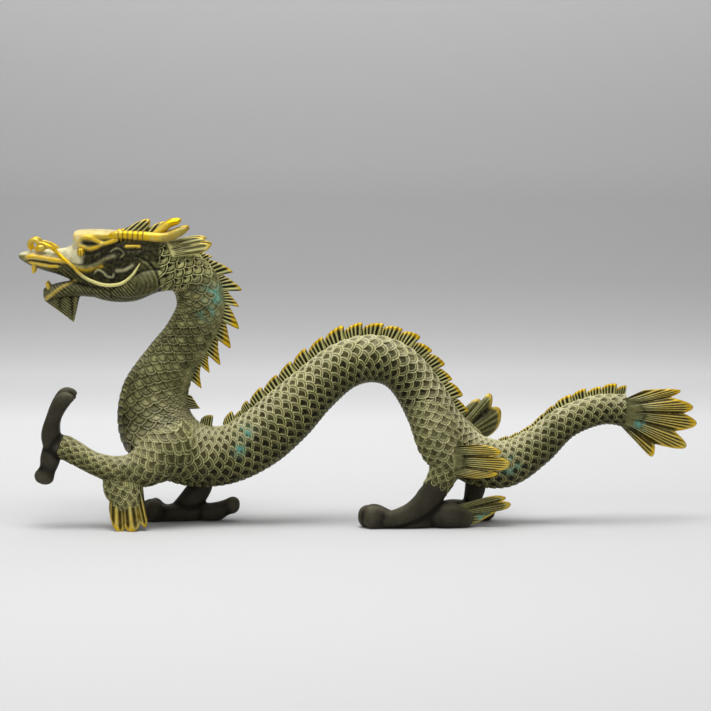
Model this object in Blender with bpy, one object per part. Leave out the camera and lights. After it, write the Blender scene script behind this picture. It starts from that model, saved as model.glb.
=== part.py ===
"""A walking dragon, cast in one piece, standing on its feet.

The pose is written in hundredths of the body's length: x runs from the snout to the tail fin,
y from the near side to the far side and z up from the floor. The origin lies on the floor under
the middle of the figure.
"""

import math

import bmesh
import bpy
from mathutils import Vector

# Driving sizes, in metres
LENGTH = 0.500
WIDTH = 0.080
HEIGHT = 0.227
SPINE_THICKNESS = 0.0030
TUFT_THICKNESS = 0.0055
FIN_THICKNESS = 0.0065
WHISKER_THICKNESS = 0.0026
TOOTH_THICKNESS = 0.0030

# One step of the pose along, across and up
ALONG = LENGTH / 100
ACROSS = WIDTH / 16
UP = HEIGHT / 45.4

# Facets
TRUNK_SIDES = 14
TRUNK_STEPS = 2
HEAD_SIDES = 12
LIMB_SIDES = 8
TOE_SIDES = 6
LOCK_STEPS = 2
LOBE_STEPS = 3

# How much narrower the trunk is across than from back to belly
TRUNK_NARROWING = 0.88

# How far the trunk's cross-sections look ahead and behind for their slant, in stations
BEND_REACH = 0.8

# Trunk stations from behind the skull to the tail fin: x, z, half the depth from back to belly
TRUNK = (
    (-26.6, 38.6, 3.1),
    (-24.0, 35.6, 3.4),
    (-23.4, 32.0, 3.5),
    (-25.2, 28.1, 3.5),
    (-27.8, 24.3, 3.85),
    (-30.2, 19.3, 4.9),
    (-29.8, 13.9, 5.5),
    (-25.4, 10.6, 4.85),
    (-19.8, 10.2, 4.3),
    (-14.8, 12.6, 4.35),
    (-10.5, 16.2, 4.2),
    (-6.5, 20.1, 3.7),
    (-2.2, 23.5, 3.5),
    (2.2, 24.6, 3.5),
    (6.2, 23.1, 3.35),
    (9.5, 19.0, 3.4),
    (12.3, 14.1, 3.5),
    (16.1, 10.1, 3.65),
    (21.5, 8.9, 3.5),
    (26.4, 11.5, 2.85),
    (30.6, 15.1, 2.4),
    (35.6, 17.0, 2.25),
    (39.4, 16.9, 2.4),
)

# Runs of spines along the back: the trunk station where each run starts, then its tips as pairs of
# a station and a height. No two spines of the casting stand alike.
NECK_SPINES = (
    (0.57, 1.2),
    (1.14, 2.3),
    (1.52, 2.8),
    (1.82, 2.2),
    (2.28, 2.8),
    (2.74, 2.9),
    (3.27, 2.8),
    (3.67, 2.1),
    (4.29, 1.9),
)
BACK_SPINES = (
    (8.77, 1.4),
    (9.07, 0.8),
    (9.41, 1.4),
    (10.0, 1.6),
    (10.53, 1.6),
    (11.03, 1.8),
    (11.46, 2.0),
    (11.9, 1.9),
    (12.38, 2.2),
    (12.75, 2.0),
    (13.18, 1.9),
    (13.55, 2.0),
    (13.92, 2.3),
    (14.29, 1.9),
    (14.67, 2.1),
    (15.04, 1.7),
    (15.54, 1.9),
    (16.02, 1.4),
)
TAIL_SPINES = (
    (18.39, 0.6),
    (18.78, 0.5),
    (19.22, 0.5),
    (19.7, 0.6),
    (19.98, 0.8),
    (20.43, 1.2),
    (20.77, 1.4),
    (21.15, 1.2),
    (21.62, 1.6),
    (22.0, 1.4),
)
SPINE_RUNS = (
    (0.15, NECK_SPINES),
    (5.1, ((5.55, 1.8),)),
    (7.1, ((7.78, 1.8),)),
    (8.2, BACK_SPINES),
    (17.9, TAIL_SPINES),
)
SPINE_OUTLINE = ((0.0, 0.0, 0.34), (0.5, 0.58, 0.86), (0.88, 1.16, 1.0))
SPINE_ROOT_DEPTH = 1.2

# Skull and snout stations: x, lowest z, highest z, half the width
SKULL = (
    (-23.6, 35.0, 39.4, 2.4),
    (-26.0, 34.2, 41.3, 3.1),
    (-29.4, 34.5, 42.5, 3.4),
    (-32.8, 33.2, 43.0, 3.75),
    (-36.4, 33.1, 43.4, 3.65),
    (-39.6, 34.0, 43.6, 3.2),
    (-41.3, 35.2, 43.2, 2.9),
    (-42.2, 36.2, 41.5, 2.7),
    (-44.2, 37.1, 40.9, 2.5),
    (-46.6, 37.8, 40.8, 2.3),
    (-48.6, 38.6, 40.6, 1.8),
    (-49.7, 39.3, 40.3, 1.0),
    (-50.0, 39.6, 40.05, 0.5),
)
# Lower jaw stations: x, lowest z, highest z, half the width
JAW = (
    (-36.5, 33.4, 36.4, 2.9),
    (-39.5, 33.8, 36.3, 2.7),
    (-42.4, 33.9, 36.2, 2.4),
    (-44.6, 33.6, 35.8, 2.1),
    (-45.9, 33.2, 35.3, 1.6),
    (-46.4, 33.6, 35.0, 0.8),
)

# The root of the tail fin, which flattens from the tail's end: x, lowest z, highest z, half the width
FIN_ROOT = (
    (37.0, 14.8, 19.1, 1.8),
    (39.3, 14.6, 19.2, 2.05),
    (41.2, 14.1, 19.4, 1.5),
    (43.2, 13.7, 19.4, 0.95),
    (45.0, 13.7, 19.1, 0.35),
)

# How far the three toes of a foot stand to the side, and how much shorter the outer ones are
TOE_FAN = (-1.0, 0.0, 1.0)
OUTER_TOE_SHARE = 0.93
TOE_NARROWING = 0.82


def at(x, y, z):
    """A point of the pose in metres."""
    return Vector((x * ALONG, y * ACROSS, z * UP))


def between(a, b, share):
    """The tuple that lies a share of the way from a to b."""
    return tuple(p + (q - p) * share for p, q in zip(a, b))


def curve_point(stations, position):
    """The tuple at a position counted in stations, on a smooth curve through all of them."""
    index = min(max(int(position), 0), len(stations) - 2)
    share = position - index
    before = stations[max(index - 1, 0)]
    start = stations[index]
    end = stations[index + 1]
    after = stations[min(index + 2, len(stations) - 1)]
    return tuple(
        0.5
        * (
            2 * b
            + (c - a) * share
            + (2 * a - 5 * b + 4 * c - d) * share**2
            + (3 * b - a - 3 * c + d) * share**3
        )
        for a, b, c, d in zip(before, start, end, after)
    )


def curve_points(stations, steps):
    """Tuples along the smooth curve, a number of steps to each span."""
    last = (len(stations) - 1) * steps
    return [curve_point(stations, i / steps) for i in range(last + 1)]


def solid(name, rings):
    """A closed mesh object skinned over rings of equally many points, with nothing below the floor."""
    shell = bmesh.new()
    loops = [[shell.verts.new((point.x, point.y, max(point.z, 0))) for point in ring] for ring in rings]
    count = len(loops[0])
    for near, far in zip(loops, loops[1:]):
        for i in range(count):
            j = (i + 1) % count
            shell.faces.new((near[i], near[j], far[j], far[i]))
    shell.faces.new(loops[0][::-1])
    shell.faces.new(loops[-1])
    bmesh.ops.triangulate(shell, faces=shell.faces)
    bmesh.ops.recalc_face_normals(shell, faces=shell.faces)
    mesh = bpy.data.meshes.new(name)
    shell.to_mesh(mesh)
    shell.free()
    made = bpy.data.objects.new(name, mesh)
    bpy.context.scene.collection.objects.link(made)
    return made


def oval(centre, side, rise, sides):
    """Points round an oval whose half axes are the vectors side and rise."""
    turns = [2 * math.pi * i / sides for i in range(sides)]
    return [centre + side * math.cos(t) + rise * math.sin(t) for t in turns]


def trunk_frame(position):
    """Middle, direction to the back and half depth of the trunk at a position in stations."""
    x, z, depth = curve_point(TRUNK, position)
    ahead = curve_point(TRUNK, min(position + BEND_REACH, len(TRUNK) - 1))
    behind = curve_point(TRUNK, max(position - BEND_REACH, 0))
    along = (at(ahead[0], 0, ahead[1]) - at(behind[0], 0, behind[1])).normalized()
    back = Vector((-along.z, 0, along.x))
    return at(x, 0, z), back, depth


def trunk():
    """Neck, body and tail as one tapering tube in the middle plane."""
    rings = []
    for i in range((len(TRUNK) - 1) * TRUNK_STEPS + 1):
        middle, back, depth = trunk_frame(i / TRUNK_STEPS)
        across = Vector((0, -depth * TRUNK_NARROWING * ACROSS, 0))
        rings.append(oval(middle, across, back * depth * ALONG, TRUNK_SIDES))
    return solid("trunk", rings)


def spine_run(first, tips):
    """A comb of spines that lean towards the tail, standing along the back."""
    columns = []
    notch = first
    overhang = SPINE_OUTLINE[-1][1]
    for tip, height in tips:
        pitch = (tip - notch) / overhang
        for root, top, rise in SPINE_OUTLINE:
            columns.append((notch + root * pitch, notch + top * pitch, rise * height))
        notch += pitch
    columns.append((notch, notch, columns[0][2]))
    rings = []
    for root, top, rise in columns:
        foot, foot_back, foot_depth = trunk_frame(root)
        crown, crown_back, crown_depth = trunk_frame(min(top, len(TRUNK) - 1))
        low = foot + foot_back * (foot_depth - SPINE_ROOT_DEPTH) * ALONG
        high = crown + crown_back * (crown_depth + rise) * ALONG
        half = Vector((0, SPINE_THICKNESS / 2, 0))
        rings.append([low - half, low + half, high + half * 0.45, high - half * 0.45])
    return solid("spines", rings)


def upright_form(name, stations):
    """A form of the head or the fin with upright cross-sections, from its stations."""
    rings = []
    for x, low, high, half_width in stations:
        middle = at(x, 0, (low + high) / 2)
        rise = Vector((0, 0, (high - low) / 2 * UP))
        rings.append(oval(middle, Vector((0, half_width * ACROSS, 0)), rise, HEAD_SIDES))
    return solid(name, rings)


def tube(name, stations, sides, steps, narrowing=1.0):
    """A tapering limb through stations of x, y, z and radius, thinner across where narrowing is under 1."""
    points = curve_points(stations, steps)
    places = [at(*point[:3]) for point in points]
    rings = []
    for i, place in enumerate(places):
        along = (places[min(i + 1, len(places) - 1)] - places[max(i - 1, 0)]).normalized()
        side = Vector((0, 1, 0)) - along * along.y
        if side.length < 0.3:
            side = Vector((1, 0, 0)) - along * along.x
        side.normalize()
        rise = along.cross(side)
        radius = max(points[i][3], 0.05)
        rings.append(oval(place, side * radius * narrowing * ACROSS, rise * radius * ALONG, sides))
    return solid(name, rings)


def flame(name, root, edge, thickness, face=(0, 1, 0), sag=0.0):
    """A fan of pointed lobes that grows from a root line.

    The edge alternates notch, tip, notch and so on. Each lobe swells between its notches and
    thins towards its tip. Face is the direction that the fan's thickness has.
    """
    lobes = (len(edge) - 1) // 2
    facing = Vector(face).normalized()
    columns = []
    for lobe in range(lobes):
        start, tip, end = edge[2 * lobe : 2 * lobe + 3]
        pull = tuple(2 * t - (a + b) / 2 for t, a, b in zip(tip, start, end))
        last_lobe = lobe == lobes - 1
        for step in range(LOBE_STEPS + last_lobe):
            share = step / LOBE_STEPS
            rim = between(between(start, pull, share), between(pull, end, share), share)
            foot = between(root[0], root[1], (lobe + share) / lobes)
            columns.append((foot, rim, math.sin(math.pi * share)))
    rings = []
    for foot, rim, swell in columns:
        outer, inner = [], []
        for step in range(LOCK_STEPS + 1):
            share = step / LOCK_STEPS
            place = at(*between(foot, rim, share)) + facing * sag * ALONG * math.sin(math.pi * share)
            half = thickness / 2 * (1 - 0.68 * share**2) * (0.5 + 0.5 * swell)
            outer.append(place + facing * half)
            inner.append(place - facing * half)
        rings.append(outer + inner[::-1])
    return solid(name, rings)


def foot(name, y, spread, toe_line, spur_line):
    """A foot with three toes ahead and a spur behind.

    The lines give x, z and radius from the ankle outwards for the middle toe and for the spur.
    Spread is how far the tips of the outer toes stand to the side of the middle one.
    """
    made = []
    root_x, root_z, _ = toe_line[0]
    for number, side in enumerate(TOE_FAN):
        share = OUTER_TOE_SHARE if side else 1.0
        stations = []
        for step, (x, z, radius) in enumerate(toe_line):
            out = side * spread * (0.25 + 0.75 * step / (len(toe_line) - 1))
            stations.append((root_x + (x - root_x) * share, y + out, root_z + (z - root_z) * share, radius))
        made.append(tube(f"{name}_toe_{number + 1}", stations, TOE_SIDES, 1, TOE_NARROWING))
    spur = [(x, y, z, radius) for x, z, radius in spur_line]
    made.append(tube(f"{name}_spur", spur, TOE_SIDES, 1))
    return made


def near_foreleg():
    """The raised foreleg on the near side, its elbow tuft hanging to the floor."""
    leg = (
        (-28.4, -0.8, 15.6, 1.8),
        (-27.4, -2.2, 13.6, 2.8),
        (-28.6, -3.6, 11.2, 3.5),
        (-31.2, -4.6, 9.2, 2.9),
        (-34.6, -5.0, 8.6, 2.15),
        (-38.6, -5.0, 9.65, 1.6),
        (-42.4, -4.8, 11.7, 1.65),
        (-44.6, -4.7, 12.5, 1.7),
        (-45.8, -4.7, 12.6, 0.8),
    )
    toe_line = (
        (-44.9, 11.4, 1.1),
        (-45.1, 14.0, 1.4),
        (-44.7, 16.4, 1.1),
        (-43.9, 18.3, 1.15),
        (-42.9, 19.7, 1.2),
        (-41.9, 20.0, 0.85),
        (-41.1, 19.95, 0.35),
    )
    spur_line = (
        (-44.9, 13.2, 1.1),
        (-45.2, 10.4, 1.5),
        (-45.6, 8.8, 1.25),
        (-46.2, 7.5, 1.5),
        (-46.5, 6.6, 0.8),
    )
    root = ((-36.2, -5.2, 7.8), (-31.6, -5.4, 7.6))
    edge = (
        (-36.5, -6.4, 3.2),
        (-35.3, -7.5, 0.0),
        (-34.2, -7.2, 0.9),
        (-33.0, -7.9, 0.0),
        (-31.9, -7.2, 1.2),
        (-30.9, -6.9, 1.0),
        (-31.6, -6.0, 3.4),
    )
    parts = [tube("near_foreleg", leg, LIMB_SIDES, 2)]
    parts.append(flame("near_elbow_tuft", root, edge, TUFT_THICKNESS))
    parts += foot("near_fore", -4.7, 1.9, toe_line, spur_line)
    return parts


def far_foreleg():
    """The foreleg on the far side, which stands on its foot."""
    leg = (
        (-29.2, 0.8, 15.6, 1.6),
        (-27.6, 2.2, 12.6, 2.9),
        (-25.4, 3.4, 9.4, 2.7),
        (-23.3, 3.6, 6.6, 1.95),
        (-23.5, 3.5, 4.6, 1.85),
        (-24.4, 3.4, 2.6, 2.4),
    )
    toe_line = (
        (-23.2, 1.4, 1.2),
        (-26.8, 1.2, 1.5),
        (-29.4, 1.0, 1.3),
        (-31.4, 1.5, 1.85),
        (-32.9, 1.9, 0.7),
    )
    spur_line = (
        (-25.2, 1.3, 1.2),
        (-21.8, 1.2, 1.5),
        (-19.8, 1.95, 1.2),
        (-18.6, 2.35, 1.3),
        (-17.7, 2.4, 0.7),
    )
    root = ((-25.6, 3.8, 9.6), (-24.2, 4.2, 7.8))
    edge = (
        (-21.6, 5.9, 11.6),
        (-17.6, 7.0, 11.6),
        (-19.4, 6.9, 10.2),
        (-15.8, 7.3, 9.8),
        (-19.0, 6.8, 8.6),
        (-17.4, 6.8, 7.9),
        (-20.8, 6.0, 7.4),
    )
    parts = [tube("far_foreleg", leg, LIMB_SIDES, 2)]
    parts.append(flame("far_elbow_tuft", root, edge, TUFT_THICKNESS))
    parts += foot("far_fore", 3.4, 1.6, toe_line, spur_line)
    return parts


def near_hind_leg():
    """The hind leg on the near side, with the tufts at its hock and its heel."""
    leg = (
        (8.6, -0.6, 19.6, 1.4),
        (10.2, -1.6, 16.6, 2.5),
        (11.6, -2.8, 12.8, 3.0),
        (12.8, -3.4, 9.6, 2.5),
        (12.2, -3.5, 7.4, 2.0),
        (11.2, -3.4, 5.6, 1.8),
        (10.3, -3.3, 4.0, 2.1),
        (10.0, -3.3, 2.0, 2.2),
    )
    instep = (
        (12.3, -3.5, 7.6, 1.8),
        (10.6, -3.3, 4.6, 1.9),
        (8.3, -3.3, 2.5, 1.7),
        (5.8, -3.3, 1.5, 1.2),
    )
    toe_line = (
        (12.0, 1.5, 1.3),
        (7.6, 1.3, 1.7),
        (4.8, 1.0, 1.25),
        (2.0, 1.5, 1.75),
        (0.7, 1.65, 1.6),
        (-0.1, 1.7, 0.8),
    )
    spur_line = (
        (8.8, 1.5, 1.2),
        (12.7, 1.75, 2.1),
        (15.4, 1.3, 1.6),
        (16.8, 0.8, 1.0),
    )
    hock_root = ((12.4, -4.4, 12.0), (12.6, -4.4, 8.2))
    hock_edge = (
        (16.6, -6.2, 12.6),
        (20.4, -6.9, 12.0),
        (19.4, -6.9, 11.0),
        (22.1, -7.2, 9.8),
        (19.2, -6.9, 8.8),
        (19.6, -6.8, 8.0),
        (15.6, -6.0, 7.7),
    )
    heel_root = ((13.4, -3.3, 3.0), (13.4, -3.3, 0.9))
    heel_edge = (
        (18.4, -3.1, 4.3),
        (21.1, -2.9, 4.6),
        (21.2, -2.9, 3.8),
        (22.4, -2.8, 3.1),
        (20.4, -2.9, 2.3),
        (18.6, -3.1, 1.2),
        (16.9, -3.3, 0.4),
    )
    parts = [tube("near_hind_leg", leg, LIMB_SIDES, 2), tube("near_instep", instep, LIMB_SIDES, 1)]
    parts.append(flame("near_hock_tuft", hock_root, hock_edge, TUFT_THICKNESS))
    parts.append(flame("near_heel_tuft", heel_root, heel_edge, TUFT_THICKNESS))
    parts += foot("near_hind", -3.3, 1.6, toe_line, spur_line)
    return parts


def far_hind_leg():
    """The hind leg on the far side, a step behind the near one, its tuft flung up and out."""
    leg = (
        (9.4, 0.4, 17.6, 1.4),
        (11.4, 1.6, 15.6, 2.3),
        (14.4, 3.0, 13.6, 2.2),
        (16.6, 3.6, 11.6, 2.1),
        (17.6, 3.7, 8.0, 1.75),
        (17.4, 3.5, 4.6, 1.6),
        (16.6, 3.3, 2.2, 1.6),
    )
    toe_line = (
        (18.0, 1.4, 1.2),
        (14.0, 1.4, 1.75),
        (10.6, 1.1, 1.4),
        (8.6, 1.45, 1.8),
        (7.6, 1.7, 0.6),
    )
    spur_line = (
        (15.6, 1.4, 1.2),
        (18.8, 1.2, 1.5),
        (20.4, 1.3, 0.6),
    )
    root = ((13.4, 3.6, 14.6), (16.2, 3.8, 12.0))
    edge = (
        (15.8, 6.0, 15.6),
        (17.3, 7.0, 17.7),
        (18.5, 7.1, 17.0),
        (19.8, 7.9, 18.6),
        (20.0, 7.2, 16.6),
        (21.5, 7.5, 15.1),
        (19.6, 6.4, 12.3),
    )
    parts = [tube("far_hind_leg", leg, LIMB_SIDES, 2)]
    parts.append(flame("far_hock_tuft", root, edge, TUFT_THICKNESS))
    parts += foot("far_hind", 3.3, 1.6, toe_line, spur_line)
    return parts


def tail_fin():
    """The fin that ends the tail: five lobes fanned in the middle plane."""
    root = ((37.8, 0, 17.9), (37.8, 0, 15.6))
    edge = (
        (42.2, 0, 20.0),
        (47.4, 0.3, 20.0),
        (46.2, 0, 18.9),
        (49.4, -0.3, 17.7),
        (48.2, 0, 16.5),
        (50.07, 0.3, 14.8),
        (46.9, 0, 13.8),
        (48.4, -0.3, 11.4),
        (43.9, 0, 11.9),
        (43.4, 0.3, 10.0),
        (41.4, 0, 12.4),
    )
    return [upright_form("fin_root", FIN_ROOT), flame("tail_fin", root, edge, FIN_THICKNESS)]


def paired(name, make):
    """A form of the head's near side and its twin on the far side."""
    return [make(f"near_{name}", -1), make(f"far_{name}", 1)]


def horn(name, side):
    """The main tine of a horn, from the brow back over the head."""
    stations = (
        (-37.4, side * 2.0, 42.4, 0.5),
        (-35.2, side * 2.5, 43.1, 0.62),
        (-31.8, side * 2.7, 43.1, 0.66),
        (-28.4, side * 2.8, 42.8, 0.72),
        (-26.4, side * 3.0, 43.4, 0.7),
        (-25.1, side * 3.2, 44.0, 0.45),
    )
    return tube(name, stations, TOE_SIDES, 1)


def horn_tine(name, side):
    """The upper tine, which curls up from the middle of the horn."""
    stations = (
        (-30.2, side * 2.6, 42.8, 0.55),
        (-28.6, side * 2.3, 43.9, 0.6),
        (-27.4, side * 2.2, 44.8, 0.55),
        (-26.1, side * 2.2, 45.1, 0.3),
    )
    return tube(name, stations, TOE_SIDES, 1)


def brow(name, side):
    """The heavy brow over the eye."""
    stations = (
        (-42.0, side * 1.5, 42.0, 0.5),
        (-40.8, side * 2.3, 42.6, 1.1),
        (-38.6, side * 2.7, 42.3, 1.15),
        (-36.4, side * 2.7, 42.5, 0.8),
    )
    return tube(name, stations, TOE_SIDES, 1)


def eye(name, side):
    """The eyeball under the brow."""
    stations = (
        (-41.4, side * 2.1, 40.5, 0.15),
        (-41.1, side * 2.2, 40.6, 0.62),
        (-40.4, side * 2.35, 40.7, 0.85),
        (-39.7, side * 2.4, 40.7, 0.62),
        (-39.4, side * 2.4, 40.7, 0.15),
    )
    return tube(name, stations, TOE_SIDES, 1)


def nostril(name, side):
    """The scroll of a nostril, a coil standing on the snout."""
    turns = 7
    stations = []
    for i in range(turns + 1):
        turn = math.radians(-60 + 300 * i / turns)
        radius = 0.68
        x = -47.9 - radius * math.cos(turn)
        z = 41.15 + radius * math.sin(turn)
        stations.append((x, side * (1.3 + 0.5 * i / turns), z, 0.34))
    return tube(name, stations, 5, 1)


def whisker(name, side):
    """The whisker, a raised cord from the nostril down across the cheek and up again."""
    thick = WHISKER_THICKNESS / 2 / ALONG
    stations = (
        (-47.4, side * 1.7, 41.7, thick * 1.2),
        (-46.0, side * 1.9, 41.5, thick * 1.2),
        (-44.3, side * 2.45, 40.5, thick),
        (-42.6, side * 2.75, 38.8, thick),
        (-40.6, side * 3.0, 36.9, thick),
        (-38.2, side * 3.2, 35.8, thick),
        (-35.6, side * 3.45, 35.8, thick),
        (-33.4, side * 3.7, 37.2, thick),
        (-32.0, side * 3.55, 38.9, thick * 0.7),
    )
    return tube(name, stations, 5, 1)


def jowl(name, side):
    """The furred jowl behind the mouth."""
    stations = (
        (-36.6, side * 2.0, 34.8, 0.6),
        (-34.0, side * 2.5, 35.3, 1.5),
        (-31.0, side * 2.7, 36.3, 1.9),
        (-28.6, side * 2.5, 37.4, 1.2),
    )
    return tube(name, stations, TOE_SIDES, 1)


def ear(name, side):
    """The small ear below the horn."""
    root = ((-34.6, side * 3.0, 41.6), (-34.4, side * 3.0, 40.6))
    edge = ((-33.0, side * 3.7, 41.9), (-31.2, side * 4.1, 41.4), (-32.8, side * 3.7, 40.6))
    return flame(name, root, edge, TUFT_THICKNESS * 0.6)


def mane_lock(name, side):
    """The two-pointed lock that sweeps back from the skull."""
    root = ((-28.2, side * 2.2, 42.0), (-27.4, side * 2.6, 39.8))
    edge = (
        (-24.6, side * 2.2, 42.7),
        (-22.6, side * 2.2, 42.5),
        (-23.6, side * 2.5, 41.9),
        (-21.8, side * 2.7, 41.2),
        (-24.8, side * 2.8, 40.0),
    )
    return flame(name, root, edge, TUFT_THICKNESS * 0.8)


def fang(name, side):
    """The tooth at the front of the upper lip."""
    thick = TOOTH_THICKNESS / 2 / ALONG
    stations = (
        (-47.6, side * 1.4, 38.9, thick * 1.3),
        (-47.7, side * 1.4, 38.0, thick),
        (-47.8, side * 1.4, 37.3, thick * 0.4),
    )
    return tube(name, stations, 6, 1)


def lower_tooth(name, side):
    """The tooth that stands at the front of the lower jaw."""
    thick = TOOTH_THICKNESS / 2 / ALONG
    stations = (
        (-45.4, side * 1.1, 34.8, thick * 1.2),
        (-45.7, side * 1.1, 35.6, thick),
        (-45.9, side * 1.1, 36.1, thick * 0.4),
    )
    return tube(name, stations, 6, 1)


def head():
    """Skull, jaw and all that grows on them."""
    parts = [upright_form("skull", SKULL), upright_form("jaw", JAW)]
    tongue = ((-41.0, 0, 36.2, 0.9), (-43.6, 0, 36.1, 0.7), (-45.2, 0, 35.9, 0.35))
    parts.append(tube("tongue", tongue, TOE_SIDES, 1))
    beard_root = ((-45.4, 0, 34.2), (-40.8, 0, 34.8))
    beard_edge = ((-46.3, 0, 33.2), (-44.2, 0, 31.4), (-43.2, 0, 30.9), (-42.0, 0, 29.9), (-41.2, 0, 33.4))
    parts.append(flame("beard", beard_root, beard_edge, TUFT_THICKNESS * 1.9))
    first_root = ((-36.2, 0, 42.6), (-32.0, 0, 42.4))
    first_edge = ((-34.6, 0, 43.7), (-31.0, 0, 45.3), (-31.2, 0, 43.2))
    parts.append(flame("front_crest", first_root, first_edge, TUFT_THICKNESS * 0.9))
    second_root = ((-32.4, 0, 42.4), (-28.6, 0, 42.0))
    second_edge = ((-31.4, 0, 43.6), (-28.5, 0, 44.9), (-28.3, 0, 42.9))
    parts.append(flame("rear_crest", second_root, second_edge, TUFT_THICKNESS * 0.9))
    for name, make in (
        ("horn", horn),
        ("horn_tine", horn_tine),
        ("brow", brow),
        ("eye", eye),
        ("nostril", nostril),
        ("whisker", whisker),
        ("jowl", jowl),
        ("ear", ear),
        ("mane_lock", mane_lock),
        ("fang", fang),
        ("lower_tooth", lower_tooth),
    ):
        parts += paired(name, make)
    return parts


def cast_in_one(body, forms):
    """Fuses every form into the body with Boolean unions."""
    for form in forms:
        union = body.modifiers.new(form.name, "BOOLEAN")
        union.operation = "UNION"
        union.solver = "MANIFOLD"
        union.object = form
        bpy.context.view_layer.objects.active = body
        bpy.ops.object.modifier_apply(modifier=union.name)
        bpy.data.objects.remove(form)


def patinated_bronze():
    """Green-brown patina, the colour that most of the casting shows."""
    material = bpy.data.materials.new("patinated bronze")
    material.use_nodes = True
    shader = material.node_tree.nodes["Principled BSDF"]
    shader.inputs["Base Color"].default_value = (0.23, 0.22, 0.11, 1)
    shader.inputs["Metallic"].default_value = 0.35
    shader.inputs["Roughness"].default_value = 0.55
    return material


def main():
    for old in list(bpy.data.objects):
        bpy.data.objects.remove(old)
    dragon = trunk()
    dragon.name = "dragon"
    forms = [spine_run(*run) for run in SPINE_RUNS]
    forms += near_foreleg() + far_foreleg() + near_hind_leg() + far_hind_leg()
    forms += tail_fin() + head()
    cast_in_one(dragon, forms)
    dragon.data.shade_smooth()
    dragon.data.set_sharp_from_angle(angle=math.radians(45))
    dragon.data.materials.clear()
    dragon.data.materials.append(patinated_bronze())


main()
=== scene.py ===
"""A walking dragon in patinated bronze: scales, spines, fur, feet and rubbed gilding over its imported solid.

The pose repeats the solid's stations, in hundredths of the body's length: x runs from the snout to
the tail fin, y from the near side to the far side and z up from the floor.
"""

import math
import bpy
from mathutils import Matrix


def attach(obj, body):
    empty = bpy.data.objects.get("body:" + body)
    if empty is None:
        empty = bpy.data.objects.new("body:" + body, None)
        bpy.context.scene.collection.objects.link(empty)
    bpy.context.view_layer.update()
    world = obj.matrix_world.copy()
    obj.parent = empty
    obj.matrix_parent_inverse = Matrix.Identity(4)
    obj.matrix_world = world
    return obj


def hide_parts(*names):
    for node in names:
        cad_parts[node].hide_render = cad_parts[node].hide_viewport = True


bl_info = {
    "name": "Patinated bronze dragon",
    "version": (1, 0, 0),
    "blender": (4, 5, 0),
    "location": "3D View > Sidebar > Dragon",
    "description": "Models a walking dragon's scales, spines, head, feet and old gilding over its solid",
    "category": "Object",
}

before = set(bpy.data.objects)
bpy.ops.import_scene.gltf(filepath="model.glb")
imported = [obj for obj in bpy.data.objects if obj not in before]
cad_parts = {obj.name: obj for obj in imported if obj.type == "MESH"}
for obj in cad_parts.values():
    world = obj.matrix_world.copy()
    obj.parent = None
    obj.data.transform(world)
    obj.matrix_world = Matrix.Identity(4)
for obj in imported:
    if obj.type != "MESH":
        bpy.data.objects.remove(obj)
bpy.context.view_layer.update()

import bpy
import numpy as np
from bpy.props import FloatProperty, FloatVectorProperty, PointerProperty
from mathutils import Vector
from mathutils.bvhtree import BVHTree

# One step of the pose, in metres
UNIT = 0.005


# Mean radius of the trunk's section as a share of its half depth, since it is narrower across
TRUNK_MEAN = 0.94


# Millimetres from the middle to the edge of the scale that the relief's figures are given for
RELIEF_SCALE = 5.5

# Trunk stations from behind the skull to the tail fin: x, z, half the depth from back to belly
TRUNK = (
    (-26.6, 38.6, 3.1),
    (-24.0, 35.6, 3.4),
    (-23.4, 32.0, 3.5),
    (-25.2, 28.1, 3.5),
    (-27.8, 24.3, 3.85),
    (-30.2, 19.3, 4.9),
    (-29.8, 13.9, 5.5),
    (-25.4, 10.6, 4.85),
    (-19.8, 10.2, 4.3),
    (-14.8, 12.6, 4.35),
    (-10.5, 16.2, 4.2),
    (-6.5, 20.1, 3.7),
    (-2.2, 23.5, 3.5),
    (2.2, 24.6, 3.5),
    (6.2, 23.1, 3.35),
    (9.5, 19.0, 3.4),
    (12.3, 14.1, 3.5),
    (16.1, 10.1, 3.65),
    (21.5, 8.9, 3.5),
    (26.4, 11.5, 2.85),
    (30.6, 15.1, 2.4),
    (35.6, 17.0, 2.25),
    (39.4, 16.9, 2.4),
)
TRUNK_NARROWING = 0.88
BEND_REACH = 0.8

# Width of a scale in millimetres at trunk stations, which shrinks towards the tail
SCALE_WIDTHS = ((0, 10.4), (3, 11.2), (6, 12.0), (10, 11.8), (15, 11.4), (17, 10.6), (19, 9.2), (22, 8.4))

# Runs of spines along the back: where each starts, its tips as pairs of a trunk station and a height,
# how deep its notches are and where the gilding begins on its first and last spine, as shares
NECK_SPINES = (
    (0.57, 1.2),
    (1.14, 2.3),
    (1.52, 2.8),
    (1.82, 2.2),
    (2.28, 2.8),
    (2.74, 2.9),
    (3.27, 2.8),
    (3.67, 2.1),
    (4.29, 1.9),
)
BACK_SPINES = (
    (8.77, 1.4),
    (9.07, 0.8),
    (9.41, 1.4),
    (10.0, 1.6),
    (10.53, 1.6),
    (11.03, 1.8),
    (11.46, 2.0),
    (11.9, 1.9),
    (12.38, 2.2),
    (12.75, 2.0),
    (13.18, 1.9),
    (13.55, 2.0),
    (13.92, 2.3),
    (14.29, 1.9),
    (14.67, 2.1),
    (15.04, 1.7),
    (15.54, 1.9),
    (16.02, 1.4),
)
TAIL_SPINES = (
    (18.39, 0.6),
    (18.78, 0.5),
    (19.22, 0.5),
    (19.7, 0.6),
    (19.98, 0.8),
    (20.43, 1.2),
    (20.77, 1.4),
    (21.15, 1.2),
    (21.62, 1.6),
    (22.0, 1.4),
)
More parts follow.
